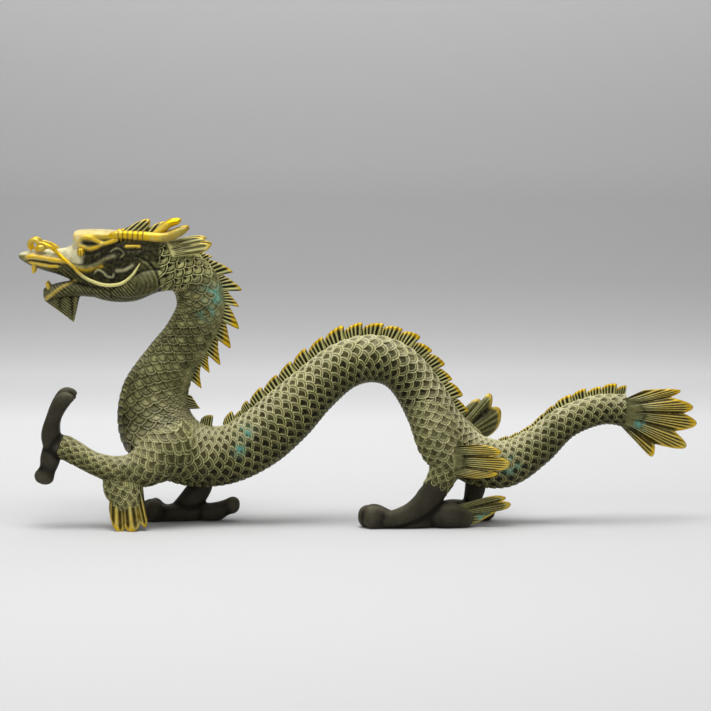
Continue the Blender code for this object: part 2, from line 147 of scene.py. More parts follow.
# One spine's outline as shares: where a rib is rooted, where it ends and how high on either kind of spine
SPINE_ROOTS = (0.0, 0.22, 0.45, 0.68, 0.8, 0.87, 0.92, 0.96, 1.0)
SPINE_TOPS = (0.0, 0.26, 0.56, 0.9, 1.07, 1.15, 1.17, 1.1, 1.0)
POINTED = (0.0, 0.2, 0.46, 0.82, 0.99, 1.02, 0.94, 0.62, 0.0)
ROUNDED = (0.0, 0.58, 0.86, 0.99, 1.0, 0.95, 0.8, 0.45, 0.0)
SPINE_RUNS = (
    (0.15, NECK_SPINES, 0.24, (0.88, 0.5), POINTED),
    (4.7, ((5.55, 1.8),), 0.4, (0.9, 0.9), ROUNDED),
    (7.1, ((7.78, 1.8),), 0.4, (0.95, 0.95), ROUNDED),
    (8.2, BACK_SPINES, 0.34, (0.85, 0.72), ROUNDED),
    (17.9, TAIL_SPINES, 0.34, (0.88, 0.7), ROUNDED),
)

# Skull and snout stations: x, lowest z, highest z, half the width
SKULL = (
    (-23.6, 35.0, 39.4, 2.4),
    (-26.0, 34.2, 41.3, 3.1),
    (-29.4, 34.5, 42.5, 3.4),
    (-32.8, 33.2, 43.0, 3.75),
    (-36.4, 33.1, 43.4, 3.65),
    (-39.6, 34.0, 43.6, 3.2),
    (-41.3, 35.2, 43.2, 2.9),
    (-42.2, 36.2, 41.5, 2.7),
    (-44.2, 37.1, 40.9, 2.5),
    (-46.6, 37.8, 40.8, 2.3),
    (-48.6, 38.6, 40.6, 1.8),
    (-49.7, 39.3, 40.3, 1.0),
    (-50.0, 39.6, 40.05, 0.5),
)
# Lower jaw stations: x, lowest z, highest z, half the width
JAW = (
    (-36.5, 33.4, 36.4, 2.9),
    (-39.5, 33.8, 36.3, 2.7),
    (-42.4, 33.9, 36.2, 2.4),
    (-44.6, 33.6, 35.8, 2.1),
    (-45.9, 33.2, 35.3, 1.6),
    (-46.4, 33.6, 35.0, 0.8),
)

# Limbs from inside the trunk to the ankle: x, y, z, radius
NEAR_FORELEG = (
    (-28.4, -0.8, 15.6, 1.8),
    (-27.4, -2.2, 13.6, 2.8),
    (-28.6, -3.6, 11.2, 3.5),
    (-31.2, -4.6, 9.2, 2.9),
    (-34.6, -5.0, 8.6, 2.15),
    (-38.6, -5.0, 9.65, 1.6),
    (-42.4, -4.8, 11.7, 1.65),
    (-44.6, -4.7, 12.5, 1.7),
    (-45.8, -4.7, 12.6, 0.8),
)
FAR_FORELEG = (
    (-29.2, 0.8, 15.6, 1.6),
    (-27.6, 2.2, 12.6, 2.9),
    (-25.4, 3.4, 9.4, 2.7),
    (-23.3, 3.6, 6.6, 1.95),
    (-23.5, 3.5, 4.6, 1.85),
    (-24.4, 3.4, 2.6, 2.4),
)
NEAR_HIND_LEG = (
    (8.6, -0.6, 19.6, 1.4),
    (10.2, -1.6, 16.6, 2.5),
    (11.6, -2.8, 12.8, 3.0),
    (12.8, -3.4, 9.6, 2.5),
    (12.2, -3.5, 7.4, 2.0),
    (11.2, -3.4, 5.6, 1.8),
    (10.3, -3.3, 4.0, 2.1),
    (10.0, -3.3, 2.0, 2.2),
)
FAR_HIND_LEG = (
    (9.4, 0.4, 17.6, 1.4),
    (11.4, 1.6, 15.6, 2.3),
    (14.4, 3.0, 13.6, 2.2),
    (16.6, 3.6, 11.6, 2.1),
    (17.6, 3.7, 8.0, 1.75),
    (17.4, 3.5, 4.6, 1.6),
    (16.6, 3.3, 2.2, 1.6),
)
# Feet: y, spread of the toes, middle toe and spur as x, z, radius
NEAR_FORE_FOOT = (
    -4.7,
    1.9,
    (
        (-44.9, 11.4, 1.1),
        (-45.1, 14.0, 1.4),
        (-44.7, 16.4, 1.1),
        (-43.9, 18.3, 1.15),
        (-42.9, 19.7, 1.2),
        (-41.9, 20.0, 0.85),
        (-41.1, 19.95, 0.35),
    ),
    ((-44.9, 13.2, 1.1), (-45.2, 10.4, 1.5), (-45.6, 8.8, 1.25), (-46.2, 7.5, 1.5), (-46.5, 6.6, 0.8)),
)
FAR_FORE_FOOT = (
    3.4,
    1.6,
    ((-23.2, 1.4, 1.2), (-26.8, 1.2, 1.5), (-29.4, 1.0, 1.3), (-31.4, 1.5, 1.85), (-32.9, 1.9, 0.7)),
    ((-25.2, 1.3, 1.2), (-21.8, 1.2, 1.5), (-19.8, 1.95, 1.2), (-18.6, 2.35, 1.3), (-17.7, 2.4, 0.7)),
)
NEAR_HIND_FOOT = (
    -3.3,
    1.6,
    ((12.0, 1.5, 1.3), (7.6, 1.3, 1.7), (4.8, 1.0, 1.25), (2.0, 1.5, 1.75), (0.7, 1.65, 1.6), (-0.1, 1.7, 0.8)),
    ((8.8, 1.5, 1.2), (12.7, 1.75, 2.1), (15.4, 1.3, 1.6), (16.8, 0.8, 1.0)),
)
FAR_HIND_FOOT = (
    3.3,
    1.6,
    ((18.0, 1.4, 1.2), (14.0, 1.4, 1.75), (10.6, 1.1, 1.4), (8.6, 1.45, 1.8), (7.6, 1.7, 0.6)),
    ((15.6, 1.4, 1.2), (18.8, 1.2, 1.5), (20.4, 1.3, 0.6)),
)
# Instep between the near hind ankle and its toes: x, y, z, radius
NEAR_INSTEP = (
    (12.3, -3.5, 7.6, 1.8),
    (10.5, -3.8, 4.5, 1.9),
    (8.3, -4.2, 2.55, 1.65),
    (6.2, -4.5, 1.7, 1.4),
    (4.2, -4.6, 1.3, 1.2),
    (2.8, -4.6, 1.3, 1.0),
)
# Scaled elbow above the near elbow tuft: x, y, z, radius
NEAR_ELBOW = (
    (-33.6, -4.8, 9.6, 1.9),
    (-34.4, -5.0, 8.1, 2.7),
    (-34.5, -5.4, 6.3, 2.8),
    (-34.1, -5.9, 4.8, 2.4),
    (-34.0, -6.3, 3.6, 1.9),
    (-34.0, -6.5, 2.8, 1.0),
)
# Shin between the far shoulder, hidden by the belly, and its foot: x, y, z, radius
FAR_SHIN = (
    (-23.0, 3.4, 8.8, 1.5),
    (-23.3, 3.5, 6.8, 1.75),
    (-23.7, 3.5, 5.0, 1.8),
    (-25.0, 3.4, 3.2, 1.8),
    (-26.8, 3.4, 1.9, 1.3),
    (-28.0, 3.4, 1.5, 0.8),
)


# Jowl of the near side: x, y, z, radius
JOWL = ((-36.6, -2.0, 34.8, 0.6), (-34.0, -2.5, 35.3, 1.5), (-31.0, -2.6, 36.3, 1.9), (-28.6, -2.3, 37.4, 1.2))


# Size in metres of the voxels that the head is remeshed with
HEAD_VOXEL = 0.00062

# Tufts and fins: root line, then notch, tip, notch and so on
NEAR_ELBOW_TUFT = (
    ((-36.2, -5.2, 7.8), (-31.6, -5.4, 7.6)),
    (
        (-36.5, -6.4, 3.2),
        (-35.3, -7.5, 0.0),
        (-34.2, -7.2, 0.9),
        (-33.0, -7.9, 0.0),
        (-31.9, -7.2, 1.2),
        (-30.9, -6.9, 1.0),
        (-31.6, -6.0, 3.4),
    ),
)
FAR_ELBOW_TUFT = (
    ((-25.6, 3.8, 9.6), (-24.2, 4.2, 7.8)),
    (
        (-21.6, 5.9, 11.6),
        (-17.6, 7.0, 11.6),
        (-19.4, 6.9, 10.2),
        (-15.8, 7.3, 9.8),
        (-19.0, 6.8, 8.6),
        (-17.4, 6.8, 7.9),
        (-20.8, 6.0, 7.4),
    ),
)
NEAR_HOCK_TUFT = (
    ((12.4, -4.4, 12.0), (12.6, -4.4, 8.2)),
    (
        (16.6, -6.2, 12.6),
        (20.4, -6.9, 12.0),
        (19.4, -6.9, 11.0),
        (22.1, -7.2, 9.8),
        (19.2, -6.9, 8.8),
        (19.6, -6.8, 8.0),
        (15.6, -6.0, 7.7),
    ),
)
NEAR_HEEL_TUFT = (
    ((13.4, -3.3, 3.0), (13.4, -3.3, 0.9)),
    (
        (18.4, -3.1, 4.3),
        (21.1, -2.9, 4.6),
        (21.2, -2.9, 3.8),
        (22.4, -2.8, 3.1),
        (20.4, -2.9, 2.3),
        (18.6, -3.1, 1.2),
        (16.9, -3.3, 0.4),
    ),
)
FAR_HOCK_TUFT = (
    ((13.4, 3.6, 14.6), (16.2, 3.8, 12.0)),
    (
        (15.8, 6.0, 15.6),
        (17.3, 7.0, 17.7),
        (18.5, 7.1, 17.0),
        (19.8, 7.9, 18.6),
        (20.0, 7.2, 16.6),
        (21.5, 7.5, 15.1),
        (19.6, 6.4, 12.3),
    ),
)
TAIL_FIN = (
    ((37.8, 0, 17.9), (37.8, 0, 15.6)),
    (
        (42.2, 0, 20.0),
        (47.4, 0.3, 20.0),
        (46.2, 0, 18.9),
        (49.4, -0.3, 17.7),
        (48.2, 0, 16.5),
        (50.07, 0.3, 14.8),
        (46.9, 0, 13.8),
        (48.4, -0.3, 11.4),
        (43.9, 0, 11.9),
        (43.4, 0.3, 10.0),
        (41.4, 0, 12.4),
    ),
)
BEARD = (
    ((-45.4, 0, 34.2), (-40.8, 0, 34.8)),
    ((-46.3, 0, 33.2), (-44.2, 0, 31.4), (-43.2, 0, 30.9), (-42.0, 0, 29.9), (-41.2, 0, 33.4)),
)
FRONT_CREST = (((-36.2, 0, 42.6), (-32.0, 0, 42.4)), ((-34.6, 0, 43.7), (-31.0, 0, 45.3), (-31.2, 0, 43.2)))
REAR_CREST = (((-32.4, 0, 42.4), (-28.6, 0, 42.0)), ((-31.4, 0, 43.6), (-28.5, 0, 44.9), (-28.3, 0, 42.9)))


# Plain curves and numbers


def curve(stations, position):
    """Rows at positions counted in stations, on a smooth curve through all of them."""
    knots = np.array(stations, float)
    last = len(knots) - 1
    index = np.clip(np.asarray(position).astype(int), 0, last - 1)
    share = (position - index)[:, None]
    a, b = knots[np.maximum(index - 1, 0)], knots[index]
    c, d = knots[index + 1], knots[np.minimum(index + 2, last)]
    bend = (2 * a - 5 * b + 4 * c - d) * share**2
    return 0.5 * (2 * b + (c - a) * share + bend + (3 * b - a - 3 * c + d) * share**3)


def bump(value, middle, width):
    """A soft hill of height one."""
    return np.exp(-(((value - middle) / width) ** 2))


def ease(value, low, high):
    """A soft step from nothing at low to one at high."""
    share = np.clip((value - low) / (high - low), 0, 1)
    return share * share * (3 - 2 * share)


def unit_rows(vectors):
    """Every row at length one."""
    return vectors / np.maximum(np.linalg.norm(vectors, axis=1), 1e-9)[:, None]


def speckle(number):
    """A number from nothing to one that looks random and is the same on each run."""
    return np.modf(np.abs(np.sin(number * 12.9898) * 43758.5453))[0]


def run_lengths(places):
    """Distance along a row of places, in their own measure."""
    steps = np.linalg.norm(np.diff(places, axis=0), axis=1)
    return np.concatenate(([0.0], np.cumsum(steps)))


def trunk_frame(position):
    """Middle, direction to the back and half depth of the trunk, in metres, at positions in stations."""
    middle = curve(TRUNK, position)
    ahead = curve(TRUNK, np.minimum(position + BEND_REACH, len(TRUNK) - 1))
    behind = curve(TRUNK, np.maximum(position - BEND_REACH, 0))
    along = unit_rows((ahead - behind)[:, :2])
    nothing = np.zeros(len(middle))
    back = np.stack((-along[:, 1], nothing, along[:, 0]), axis=1)
    place = np.stack((middle[:, 0], nothing, middle[:, 1]), axis=1) * UNIT
    return place, back, middle[:, 2] * UNIT


TRUNK_POSITIONS = np.linspace(0, len(TRUNK) - 1, 2201)
TRUNK_RUN = run_lengths(trunk_frame(TRUNK_POSITIONS)[0]) * 1000


# Making and finishing meshes


# Metres within which vertices at seams and poles are merged
MERGE_DISTANCE = 0.00002


# How many neighbours away a crevice is judged from, and the depth in metres at which it is fully dark
CREVICE_REACH, CREVICE_DEPTH = 5, 0.00022


def deselect():
    """Clears the selection, so that an operator acts on the new piece alone."""
    for other in bpy.context.selected_objects:
        other.select_set(False)


def activate(piece):
    """Makes the piece the only one that operators act on."""
    deselect()
    piece.select_set(True)
    bpy.context.view_layer.objects.active = piece


def vertex_rows(mesh, key="co"):
    """Places or normals of a mesh's vertices, a row each."""
    flat = np.empty(len(mesh.vertices) * 3)
    mesh.vertices.foreach_get(key, flat)
    return flat.reshape(-1, 3)


def set_vertex_rows(mesh, rows):
    """Puts the mesh's vertices at the rows."""
    mesh.vertices.foreach_set("co", np.ascontiguousarray(rows, float).ravel())
    mesh.update()


def set_mark(mesh, name, values):
    """Keeps a number for each vertex under a name that the materials read."""
    layer = mesh.attributes.get(name) or mesh.attributes.new(name, "FLOAT", "POINT")
    layer.data.foreach_set("value", np.clip(values, 0, 1).astype(np.float32))


def get_mark(mesh, name):
    """The numbers kept under a name, or zeros."""
    values = np.zeros(len(mesh.vertices), np.float32)
    if mesh.attributes.get(name):
        mesh.attributes[name].data.foreach_get("value", values)
    return values.astype(float)


def wrapped_grid(name, columns, rows, place):
    """A grid wrapped by a function of u and v, its seam and poles merged and its ends closed."""
    deselect()
    bpy.ops.mesh.primitive_grid_add(x_subdivisions=columns, y_subdivisions=rows, size=2)
    piece = bpy.context.object
    piece.name = piece.data.name = name
    flat = vertex_rows(piece.data)
    points, marks = place((flat[:, 0] + 1) / 2, (flat[:, 1] + 1) / 2)
    points[:, 2] = np.maximum(points[:, 2], 0)
    set_vertex_rows(piece.data, points)
    for key, values in marks.items():
        set_mark(piece.data, key, values)
    bpy.ops.object.mode_set(mode="EDIT")
    bpy.ops.mesh.select_all(action="SELECT")
    bpy.ops.mesh.remove_doubles(threshold=MERGE_DISTANCE)
    bpy.ops.mesh.fill_holes(sides=0)
    bpy.ops.mesh.select_all(action="SELECT")
    bpy.ops.mesh.normals_make_consistent(inside=False)
    bpy.ops.object.mode_set(mode="OBJECT")
    return piece


def relaxed(places, edges, passes):
    """Places moved to the middle of their neighbours a number of times."""
    count = len(places)
    degree = np.maximum(np.bincount(edges.ravel(), minlength=count), 1)[:, None]
    for _ in range(passes):
        total = np.empty_like(places)
        for axis in range(3):
            first, second = places[edges[:, 0], axis], places[edges[:, 1], axis]
            total[:, axis] = np.bincount(edges[:, 0], second, count) + np.bincount(edges[:, 1], first, count)
        places = total / degree
    return places


def mark_crevices(piece):
    """Darkens what lies lower than its surroundings and lights what stands proud."""
    mesh = piece.data
    edges = np.empty(len(mesh.edges) * 2, int)
    mesh.edges.foreach_get("vertices", edges)
    places, normals = vertex_rows(mesh), vertex_rows(mesh, "normal")
    around = relaxed(places, edges.reshape(-1, 2), CREVICE_REACH)
    sunk = np.einsum("ij,ij->i", around - places, normals) / CREVICE_DEPTH
    set_mark(mesh, "hollow", get_mark(mesh, "hollow") + np.clip(sunk, 0, 1) * 0.9)
    set_mark(mesh, "ridge", get_mark(mesh, "ridge") + np.clip(-sunk, 0, 1) * 0.8)


def finish_piece(piece, finish, crevices=True, dust=1.0):
    """Marks crevices, pales upward faces as dust and painted top light, smooths, gives the finish and joins the piece
    to its solid.
    """
    mesh = piece.data
    mesh.shade_smooth()
    if crevices:
        mark_crevices(piece)
    # Upward faces are paled: settled dust together with painted top light
    up = vertex_rows(mesh, "normal")[:, 2]
    set_mark(mesh, "pale", get_mark(mesh, "pale") + ease(up, 0.35, 1.0) * 0.75 * dust)
    mesh.materials.clear()
    mesh.materials.append(material(finish))
    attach(piece, "root")
    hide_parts("dragon")
    return piece


def melted(name, parts, voxel, passes):
    """Parts joined, remeshed into one skin and softened as a casting is."""
    activate(parts[0])
    for part in parts[1:]:
        part.select_set(True)
    bpy.ops.object.join()
    piece = bpy.context.object
    piece.name = piece.data.name = name
    skin = piece.modifiers.new("skin", "REMESH")
    skin.mode = "VOXEL"
    skin.voxel_size = voxel
    bpy.ops.object.modifier_apply(modifier="skin")
    soft = piece.modifiers.new("soft", "SMOOTH")
    soft.factor = 0.5
    soft.iterations = passes
    bpy.ops.object.modifier_apply(modifier="soft")
    return piece


def mirrored(piece, name):
    """A twin of the piece on the far side, with its own mesh."""
    activate(piece)
    bpy.ops.object.duplicate(linked=False)
    twin = bpy.context.object
    twin.name = twin.data.name = name
    rows = vertex_rows(twin.data)
    rows[:, 1] *= -1
    set_vertex_rows(twin.data, rows)
    bpy.ops.object.mode_set(mode="EDIT")
    bpy.ops.mesh.select_all(action="SELECT")
    bpy.ops.mesh.normals_make_consistent(inside=False)
    bpy.ops.object.mode_set(mode="OBJECT")
    return twin


# Scales


# How many rows long a scale is, and how round its outline is, from a diamond's one to an ellipse's two
SCALE_REACH, SCALE_ROUNDNESS = 1.5, 1.7


def scale_field(across, along):
    """Scales laid like roof tiles, the rows nearer the head on top.

    Across counts scale widths and along counts rows. Gives how deep a place lies inside its scale,
    how far it lies outside the scale that covers its neighbour and a number that names the scale.
    """
    first = np.ceil(along - SCALE_REACH)
    inside, outside, name = np.zeros(len(along)), np.full(len(along), 9.0), np.zeros(len(along))
    found = np.zeros(len(along), bool)
    for step in range(4):
        row = first + step
        shift = 0.5 * np.mod(row, 2)
        column = np.round(across - shift)
        side = np.abs(across - shift - column) / 0.5
        ahead = np.maximum(along - row, 0) / SCALE_REACH
        spread = (side**SCALE_ROUNDNESS + ahead**SCALE_ROUNDNESS) ** (1 / SCALE_ROUNDNESS)
        covers = (spread <= 1) & ~found
        inside = np.where(covers, 1 - spread, inside)
        name = np.where(covers, row * 37 + column * 11, name)
        outside = np.where(~found & ~covers, np.minimum(outside, spread - 1), outside)
        found |= covers
    return inside, outside, name


def scale_relief(across, along, size, boss):
    """Relief in millimetres of a lattice of scales, with the marks for its ridges, its hollows and the painted shadow
    under its edges.

    Size is half the width of a scale in millimetres. Boss goes from nothing, where scales are dishes
    with bright rims, to one, where they are leaves with a light swelling, a dark groove and a wide painted shadow
    round it.
    """
    inside, outside, name = scale_field(across, along)
    share = size / RELIEF_SCALE
    deep, off = inside * RELIEF_SCALE, outside * RELIEF_SCALE
    tint = speckle(name)
    rim, groove, second = bump(deep, 0.32, 0.38), bump(deep, 1.1, 0.42), bump(deep, 1.9, 0.3)
    relief = 0.85 * np.clip(1 - deep / RELIEF_SCALE, 0, 1) + 0.4 * rim - 0.5 * groove + 0.25 * second
    relief += (0.1 + 0.45 * boss) * bump(deep, 3.6, 1.3)
    within = ease(deep, 1.5, 2.6)
    ridge = np.maximum(0.75 * second * (1 - 0.8 * boss), boss * within * (0.03 + 0.26 * tint))
    ridge = np.maximum(rim * (1 - 0.68 * boss), ridge)
    # Painted shadow that each scale casts on the one it covers, fading with the distance outside its edge
    shade = np.exp(-off / (0.6 + 1.5 * boss)) * (1 - bump(deep, 0, 0.4))
    hollow = np.maximum(groove, 0.95 * shade)
    hollow = np.maximum(hollow, 0.14 * boss * (1 - 0.6 * rim))
    hollow = np.maximum(hollow, (1 - boss) * (0.72 + 0.28 * tint) * within * (1 - 0.7 * second))
    return 1.3 * (relief - 0.4) * share, ridge, hollow, tint


def plate_relief(along):
    """Relief in millimetres of the belly's cross plates, with the marks for ridges and hollows."""
    share = np.mod(along, 1)
    relief = 0.55 * share - 0.3 - 0.35 * bump(share, 0.0, 0.1) - 0.35 * bump(share, 1.0, 0.1)
    hollow = np.maximum(bump(share, 0.02, 0.14), bump(share, 1.02, 0.14))
    return relief, bump(share, 0.84, 0.13), hollow


# Balls that stand for a limb and for the trunk where one flows into the other
LIMB_BALLS, TRUNK_BALLS = 40, 160


# Metres over which a form flows into one that it meets
FILLET_REACH = 0.010


def limb_balls(stations):
    """Centres and radii along a limb, in metres."""
    row = curve(stations, np.linspace(0, len(stations) - 1, LIMB_BALLS))
    return row[:, :3] * UNIT, row[:, 3] * UNIT


def trunk_balls():
    """Centres and radii along the trunk, in metres."""
    middle, _, depth = trunk_frame(np.linspace(0, len(TRUNK) - 1, TRUNK_BALLS))
    return middle, depth * TRUNK_MEAN


def fillet(points, others):
    """How far to push points outwards so that they flow into forms that they meet."""
    push = np.zeros(len(points))
    for centres, radii in others:
        near = np.full(len(points), 9.0)
        for centre, radius in zip(centres, radii):
            near = np.minimum(near, np.linalg.norm(points - centre, axis=1) - radius)
        push += FILLET_REACH / 4 * np.clip(1 - np.abs(near) / FILLET_REACH, 0, 1) ** 2
    return push


def trunk_skin(name, first, last):
    """A stretch of neck, body or tail with its scales and belly plates."""
    run = np.interp([first, last], TRUNK_POSITIONS, TRUNK_RUN)
    step = skin_step()
    rows = int((run[1] - run[0]) / step)
    radius = trunk_frame(np.linspace(first, last, 9))[2].mean() * 1000 * TRUNK_MEAN
    columns = int(2 * math.pi * radius / step)

    def place(u, v):
        distance = run[0] + (run[1] - run[0]) * v
        position = np.interp(distance, TRUNK_RUN, TRUNK_POSITIONS)
        middle, back, depth = trunk_frame(position)
        turn = 2 * math.pi * u - math.pi / 2
        outward = np.stack((np.zeros(len(u)), -np.cos(turn), np.zeros(len(u))), axis=1)
        lift = back * np.sin(turn)[:, None]
        points = middle + (outward * TRUNK_NARROWING + lift) * depth[:, None]
        normal = unit_rows(outward / TRUNK_NARROWING + lift)
        points += normal * fillet(points, [limb_balls(limb) for limb in LIMBS])[:, None]
        relief, marks = trunk_carving(points, position, distance, depth, np.abs(turn - math.pi / 2))
        return points + normal * relief[:, None], marks

    piece = wrapped_grid(name, columns, rows, place)
    return finish_piece(piece, "scaled_patina", crevices=False, dust=0.5)


def trunk_carving(points, position, distance, depth, from_back):
    """Relief in metres and marks of the trunk's scales and belly plates, with painted shade on the belly side and
    painted top light along the back, from_back as an angle.
    """
    form = form_sizes()
    wide = np.interp(position, *np.array(SCALE_WIDTHS).T)
    across = from_back * depth * 1000 * TRUNK_MEAN / wide
    boss = 1 - ease(position, 5.5, 8.0)
    along = distance / (form.scale_row * 1000)
    relief, ridge, hollow, tint = scale_relief(across, along, wide / 2, boss)
    belly = ease(from_back, math.pi - 0.72, math.pi - 0.5)
    relief, ridge, hollow = (
        scale * (1 - belly) + plate * belly
        for scale, plate in zip((relief, ridge, hollow), plate_relief(distance / (form.plate_pitch * 1000)))
    )
    # Painted shade on the belly side: it darkens the hollows and dulls the ridges there
    under = ease(from_back, 1.5, 2.9) * ease(position, 4.0, 6.0)
    # Painted top light along the back, taken together with the pale dust spots: it pales the ridges and lifts the
    # hollows
    top = ease(from_back, 1.65, 0.6)
    pale_dust_and_top_light = np.maximum(spots(points, PALE_SPOTS), top * (1 - 0.75 * boss))
    marks = {
        "ridge": ridge * (1 - 0.45 * under),
        "hollow": hollow * (1 - 0.5 * np.maximum(top, pale_dust_and_top_light)) + 0.4 * under,
        "tint": tint,
        "pale": 0.95 * pale_dust_and_top_light * ease(ridge - hollow * 0.8, -0.35, 0.4),
        "bloom": spots(points, BLOOM_SPOTS),
    }
    return relief / 1000 * form.scale_relief, marks


# Where turquoise copper salts show and where pale dust has settled: x, z, radius in steps of the pose
BLOOM_SPOTS = (
    (-21.4, 34.0, 1.3),
    (-22.2, 31.6, 1.0),
    (-16.6, 14.0, 0.9),
    (-17.6, 11.4, 0.8),
    (22.6, 9.0, 1.0),
    (41.6, 15.0, 0.9),
    (18.4, 1.4, 0.8),
)
PALE_SPOTS = (
    (-27.8, 16.0, 3.8),
    (-31.0, 12.4, 3.0),
    (-22.5, 13.4, 2.6),
    (11.3, 16.3, 3.4),
    (13.0, 12.6, 2.4),
    (21.0, 11.6, 2.6),
    (-23.6, 38.0, 1.8),
)


def spots(points, places):
    """How much of a mark shows at points in metres, round places of x, z and radius."""
    amount = np.zeros(len(points))
    for x, z, radius in places:
        off = np.hypot(points[:, 0] / UNIT - x, points[:, 2] / UNIT - z)
        amount = np.maximum(amount, np.exp(-((off / radius) ** 2)))
    return amount


def limb_frame(stations, position):
    """Place, side, rise and radius of a limb, in metres, at positions in stations."""
    row = curve(stations, position)
    last = len(stations) - 1
    ahead = curve(stations, np.minimum(position + 0.35, last))[:, :3]
    behind = curve(stations, np.maximum(position - 0.35, 0))[:, :3]
    along = unit_rows(ahead - behind)
    side = unit_rows(np.array([0.0, 1.0, 0.0]) - along * along[:, 1:2])
    return row[:, :3] * UNIT, side, np.cross(along, side), np.maximum(row[:, 3], 0.02) * UNIT


def limb_skin(name, stations, end, columns=8, flat=1.0):
    """A leg with scales in a number of columns, flattened across, that ends in larger ones."""
    knots = np.linspace(0, len(stations) - 1, 400)
    run = run_lengths(curve(stations, knots)[:, :3] * UNIT * 1000)
    total = np.interp(end, knots, run)
    step = skin_step() * 1.12
    row_pitch = form_sizes().scale_row * 1050

    def place(u, v):
        distance = total * v
        middle, side, rise, radius = limb_frame(stations, np.interp(distance, run, knots))
        turn = 2 * math.pi * u
        normal = side * np.cos(turn)[:, None] + rise * np.sin(turn)[:, None]
        points = middle + (side * (np.cos(turn) * flat)[:, None] + rise * np.sin(turn)[:, None]) * radius[:, None]
        points += normal * fillet(points, [trunk_balls()])[:, None]
        size = np.pi * radius * 1000 / columns
        relief, ridge, hollow, tint = scale_relief(u * columns + 0.5, distance / row_pitch, size, 0.15)
        cuff, close = ease(v, 0.8, 0.92), ease(v, 0.97, 1.0)
        points += normal * (relief * (1 + 0.5 * cuff) * (1 - close) / 1000)[:, None]
        # Painted shade on the leg's undersides, and painted top light mixed with the pale dust spots on its upper
        # side
        under = ease(-normal[:, 2], 0.0, 0.9)
        pale_dust_and_top_light = np.maximum(spots(points, PALE_SPOTS), 0.6 * ease(normal[:, 2], -0.2, 0.7))
        marks = {
            "ridge": np.clip(ridge + 0.12, 0, 1) * (1 - 0.4 * under),
            "hollow": hollow * (0.95 - 0.25 * pale_dust_and_top_light) + 0.25 * under,
            "tint": tint,
            "pale": 0.6 * pale_dust_and_top_light * ease(ridge - hollow * 0.7, -0.35, 0.5),
            "bloom": spots(points, BLOOM_SPOTS),
        }
        return points, marks

    radius = np.mean([station[3] for station in stations]) * UNIT * 1000
    piece = wrapped_grid(name, int(2 * math.pi * radius / step), int(total / step), place)
    return finish_piece(piece, "scaled_patina", crevices=False, dust=0.4)


def tube(name, stations, sides, rings, narrowing=1.0, relief=None):
    """A tapering form along stations of x, y, z and radius, closed at both ends."""

    def place(u, v):
        middle, side, rise, radius = limb_frame(stations, v * (len(stations) - 1))
        turn = 2 * math.pi * u
        close = np.sqrt(np.clip(1 - (2 * v - 1) ** 16, 0, 1))
        marks = {}
        if relief:
            extra, marks = relief(u, v)
            radius = radius + extra / 1000
        radius = radius * close
        points = middle + side * (np.cos(turn) * radius * narrowing)[:, None]
        return points + rise * (np.sin(turn) * radius)[:, None], marks

    return wrapped_grid(name, sides, rings, place)


def fan_points(root, edge, thickness, face, u, v, ribs, rib_depth, socket=0.0, tilt=0.0, valleys=0.3, blunt=False):
    """Points and marks of a fan of ribbed lobes, u round its section and v across its lobes.

    Socket is the half thickness of a round root that the fan grows from. Tilt lays each lobe over
    the next like a petal. Valleys is how deep the gaps between lobes are, and blunt rounds the tips.
    """
    lobes = (len(edge) - 1) // 2
    knots = np.array(edge, float)
    spot = np.clip(v * lobes, 0, lobes - 1e-9)
    lobe = spot.astype(int)
    share = spot - lobe
    start, tip, end = knots[2 * lobe], knots[2 * lobe + 1], knots[2 * lobe + 2]
    side = np.abs(2 * share - 1)
    bow = (1 - side**2.6) ** 0.6 if blunt else 1 - side**2
    rim = start * (1 - share)[:, None] + end * share[:, None] + (tip - (start + end) / 2) * bow[:, None]
    first, last = (np.array(place, float) for place in root)
    foot = first + (last - first) * v[:, None]
    outer = u < 0.5
    reach = np.where(outer, 2 * u, 2 - 2 * u)
    facing = np.array(face, float) / np.linalg.norm(face)
    half = thickness / 2 * (1 - 0.68 * reach**2) * (0.5 + 0.5 * np.sin(math.pi * share))
    round_root = socket * np.sqrt(np.clip(1 - (2 * v - 1) ** 2, 0, 1)) * (1 - ease(reach, 0.0, 0.6))
    half = np.maximum(half, round_root)
    half = half * np.sqrt(np.clip(1 - reach**14, 0, 1))
    rib = np.cos(2 * math.pi * ribs * share)
    fine = np.cos(2 * math.pi * 2.5 * ribs * share + 3 * np.sin(4 * reach))
    coarse = ease(reach, 0.25, 0.5)
    lines = rib * coarse + fine * (1 - coarse) * 0.6
    cut = rib_depth * ease(reach, 0.03, 0.2) * (1 - 0.5 * ease(reach, 0.85, 1.0))
    half = half + np.where(reach < 0.999, cut * (lines - 0.2) / 2, 0)
    valley = bump(np.minimum(share, 1 - share), 0, 0.07) * ease(reach, 0.3, 0.55)
    half = half - valleys * thickness * valley * (1 - reach)
    points = (foot + (rim - foot) * reach[:, None]) * UNIT
    points += facing * (tilt * (share - 0.5) * ease(reach, 0.25, 0.9))[:, None]
    half = np.where(reach > 0.001, np.maximum(half, 0), 0)
    points += facing * (np.where(outer, 1, -1) * half)[:, None]
    gaps = ease(-lines, 0.0, 0.8) * ease(reach, 0.03, 0.15) * (0.5 + 0.15 * coarse)
    marks = {
        "ridge": ease(lines, 0.1, 1.0) * 0.8,
        "hollow": np.maximum(gaps, 0.9 * valley) * (1 - 0.5 * ease(reach, 0.88, 1.0)),
        "rim": ease(reach, 0.88, 0.97),
        "outer": ease(reach, 0.35, 0.75),
        "tint": share,
    }
    return points, marks


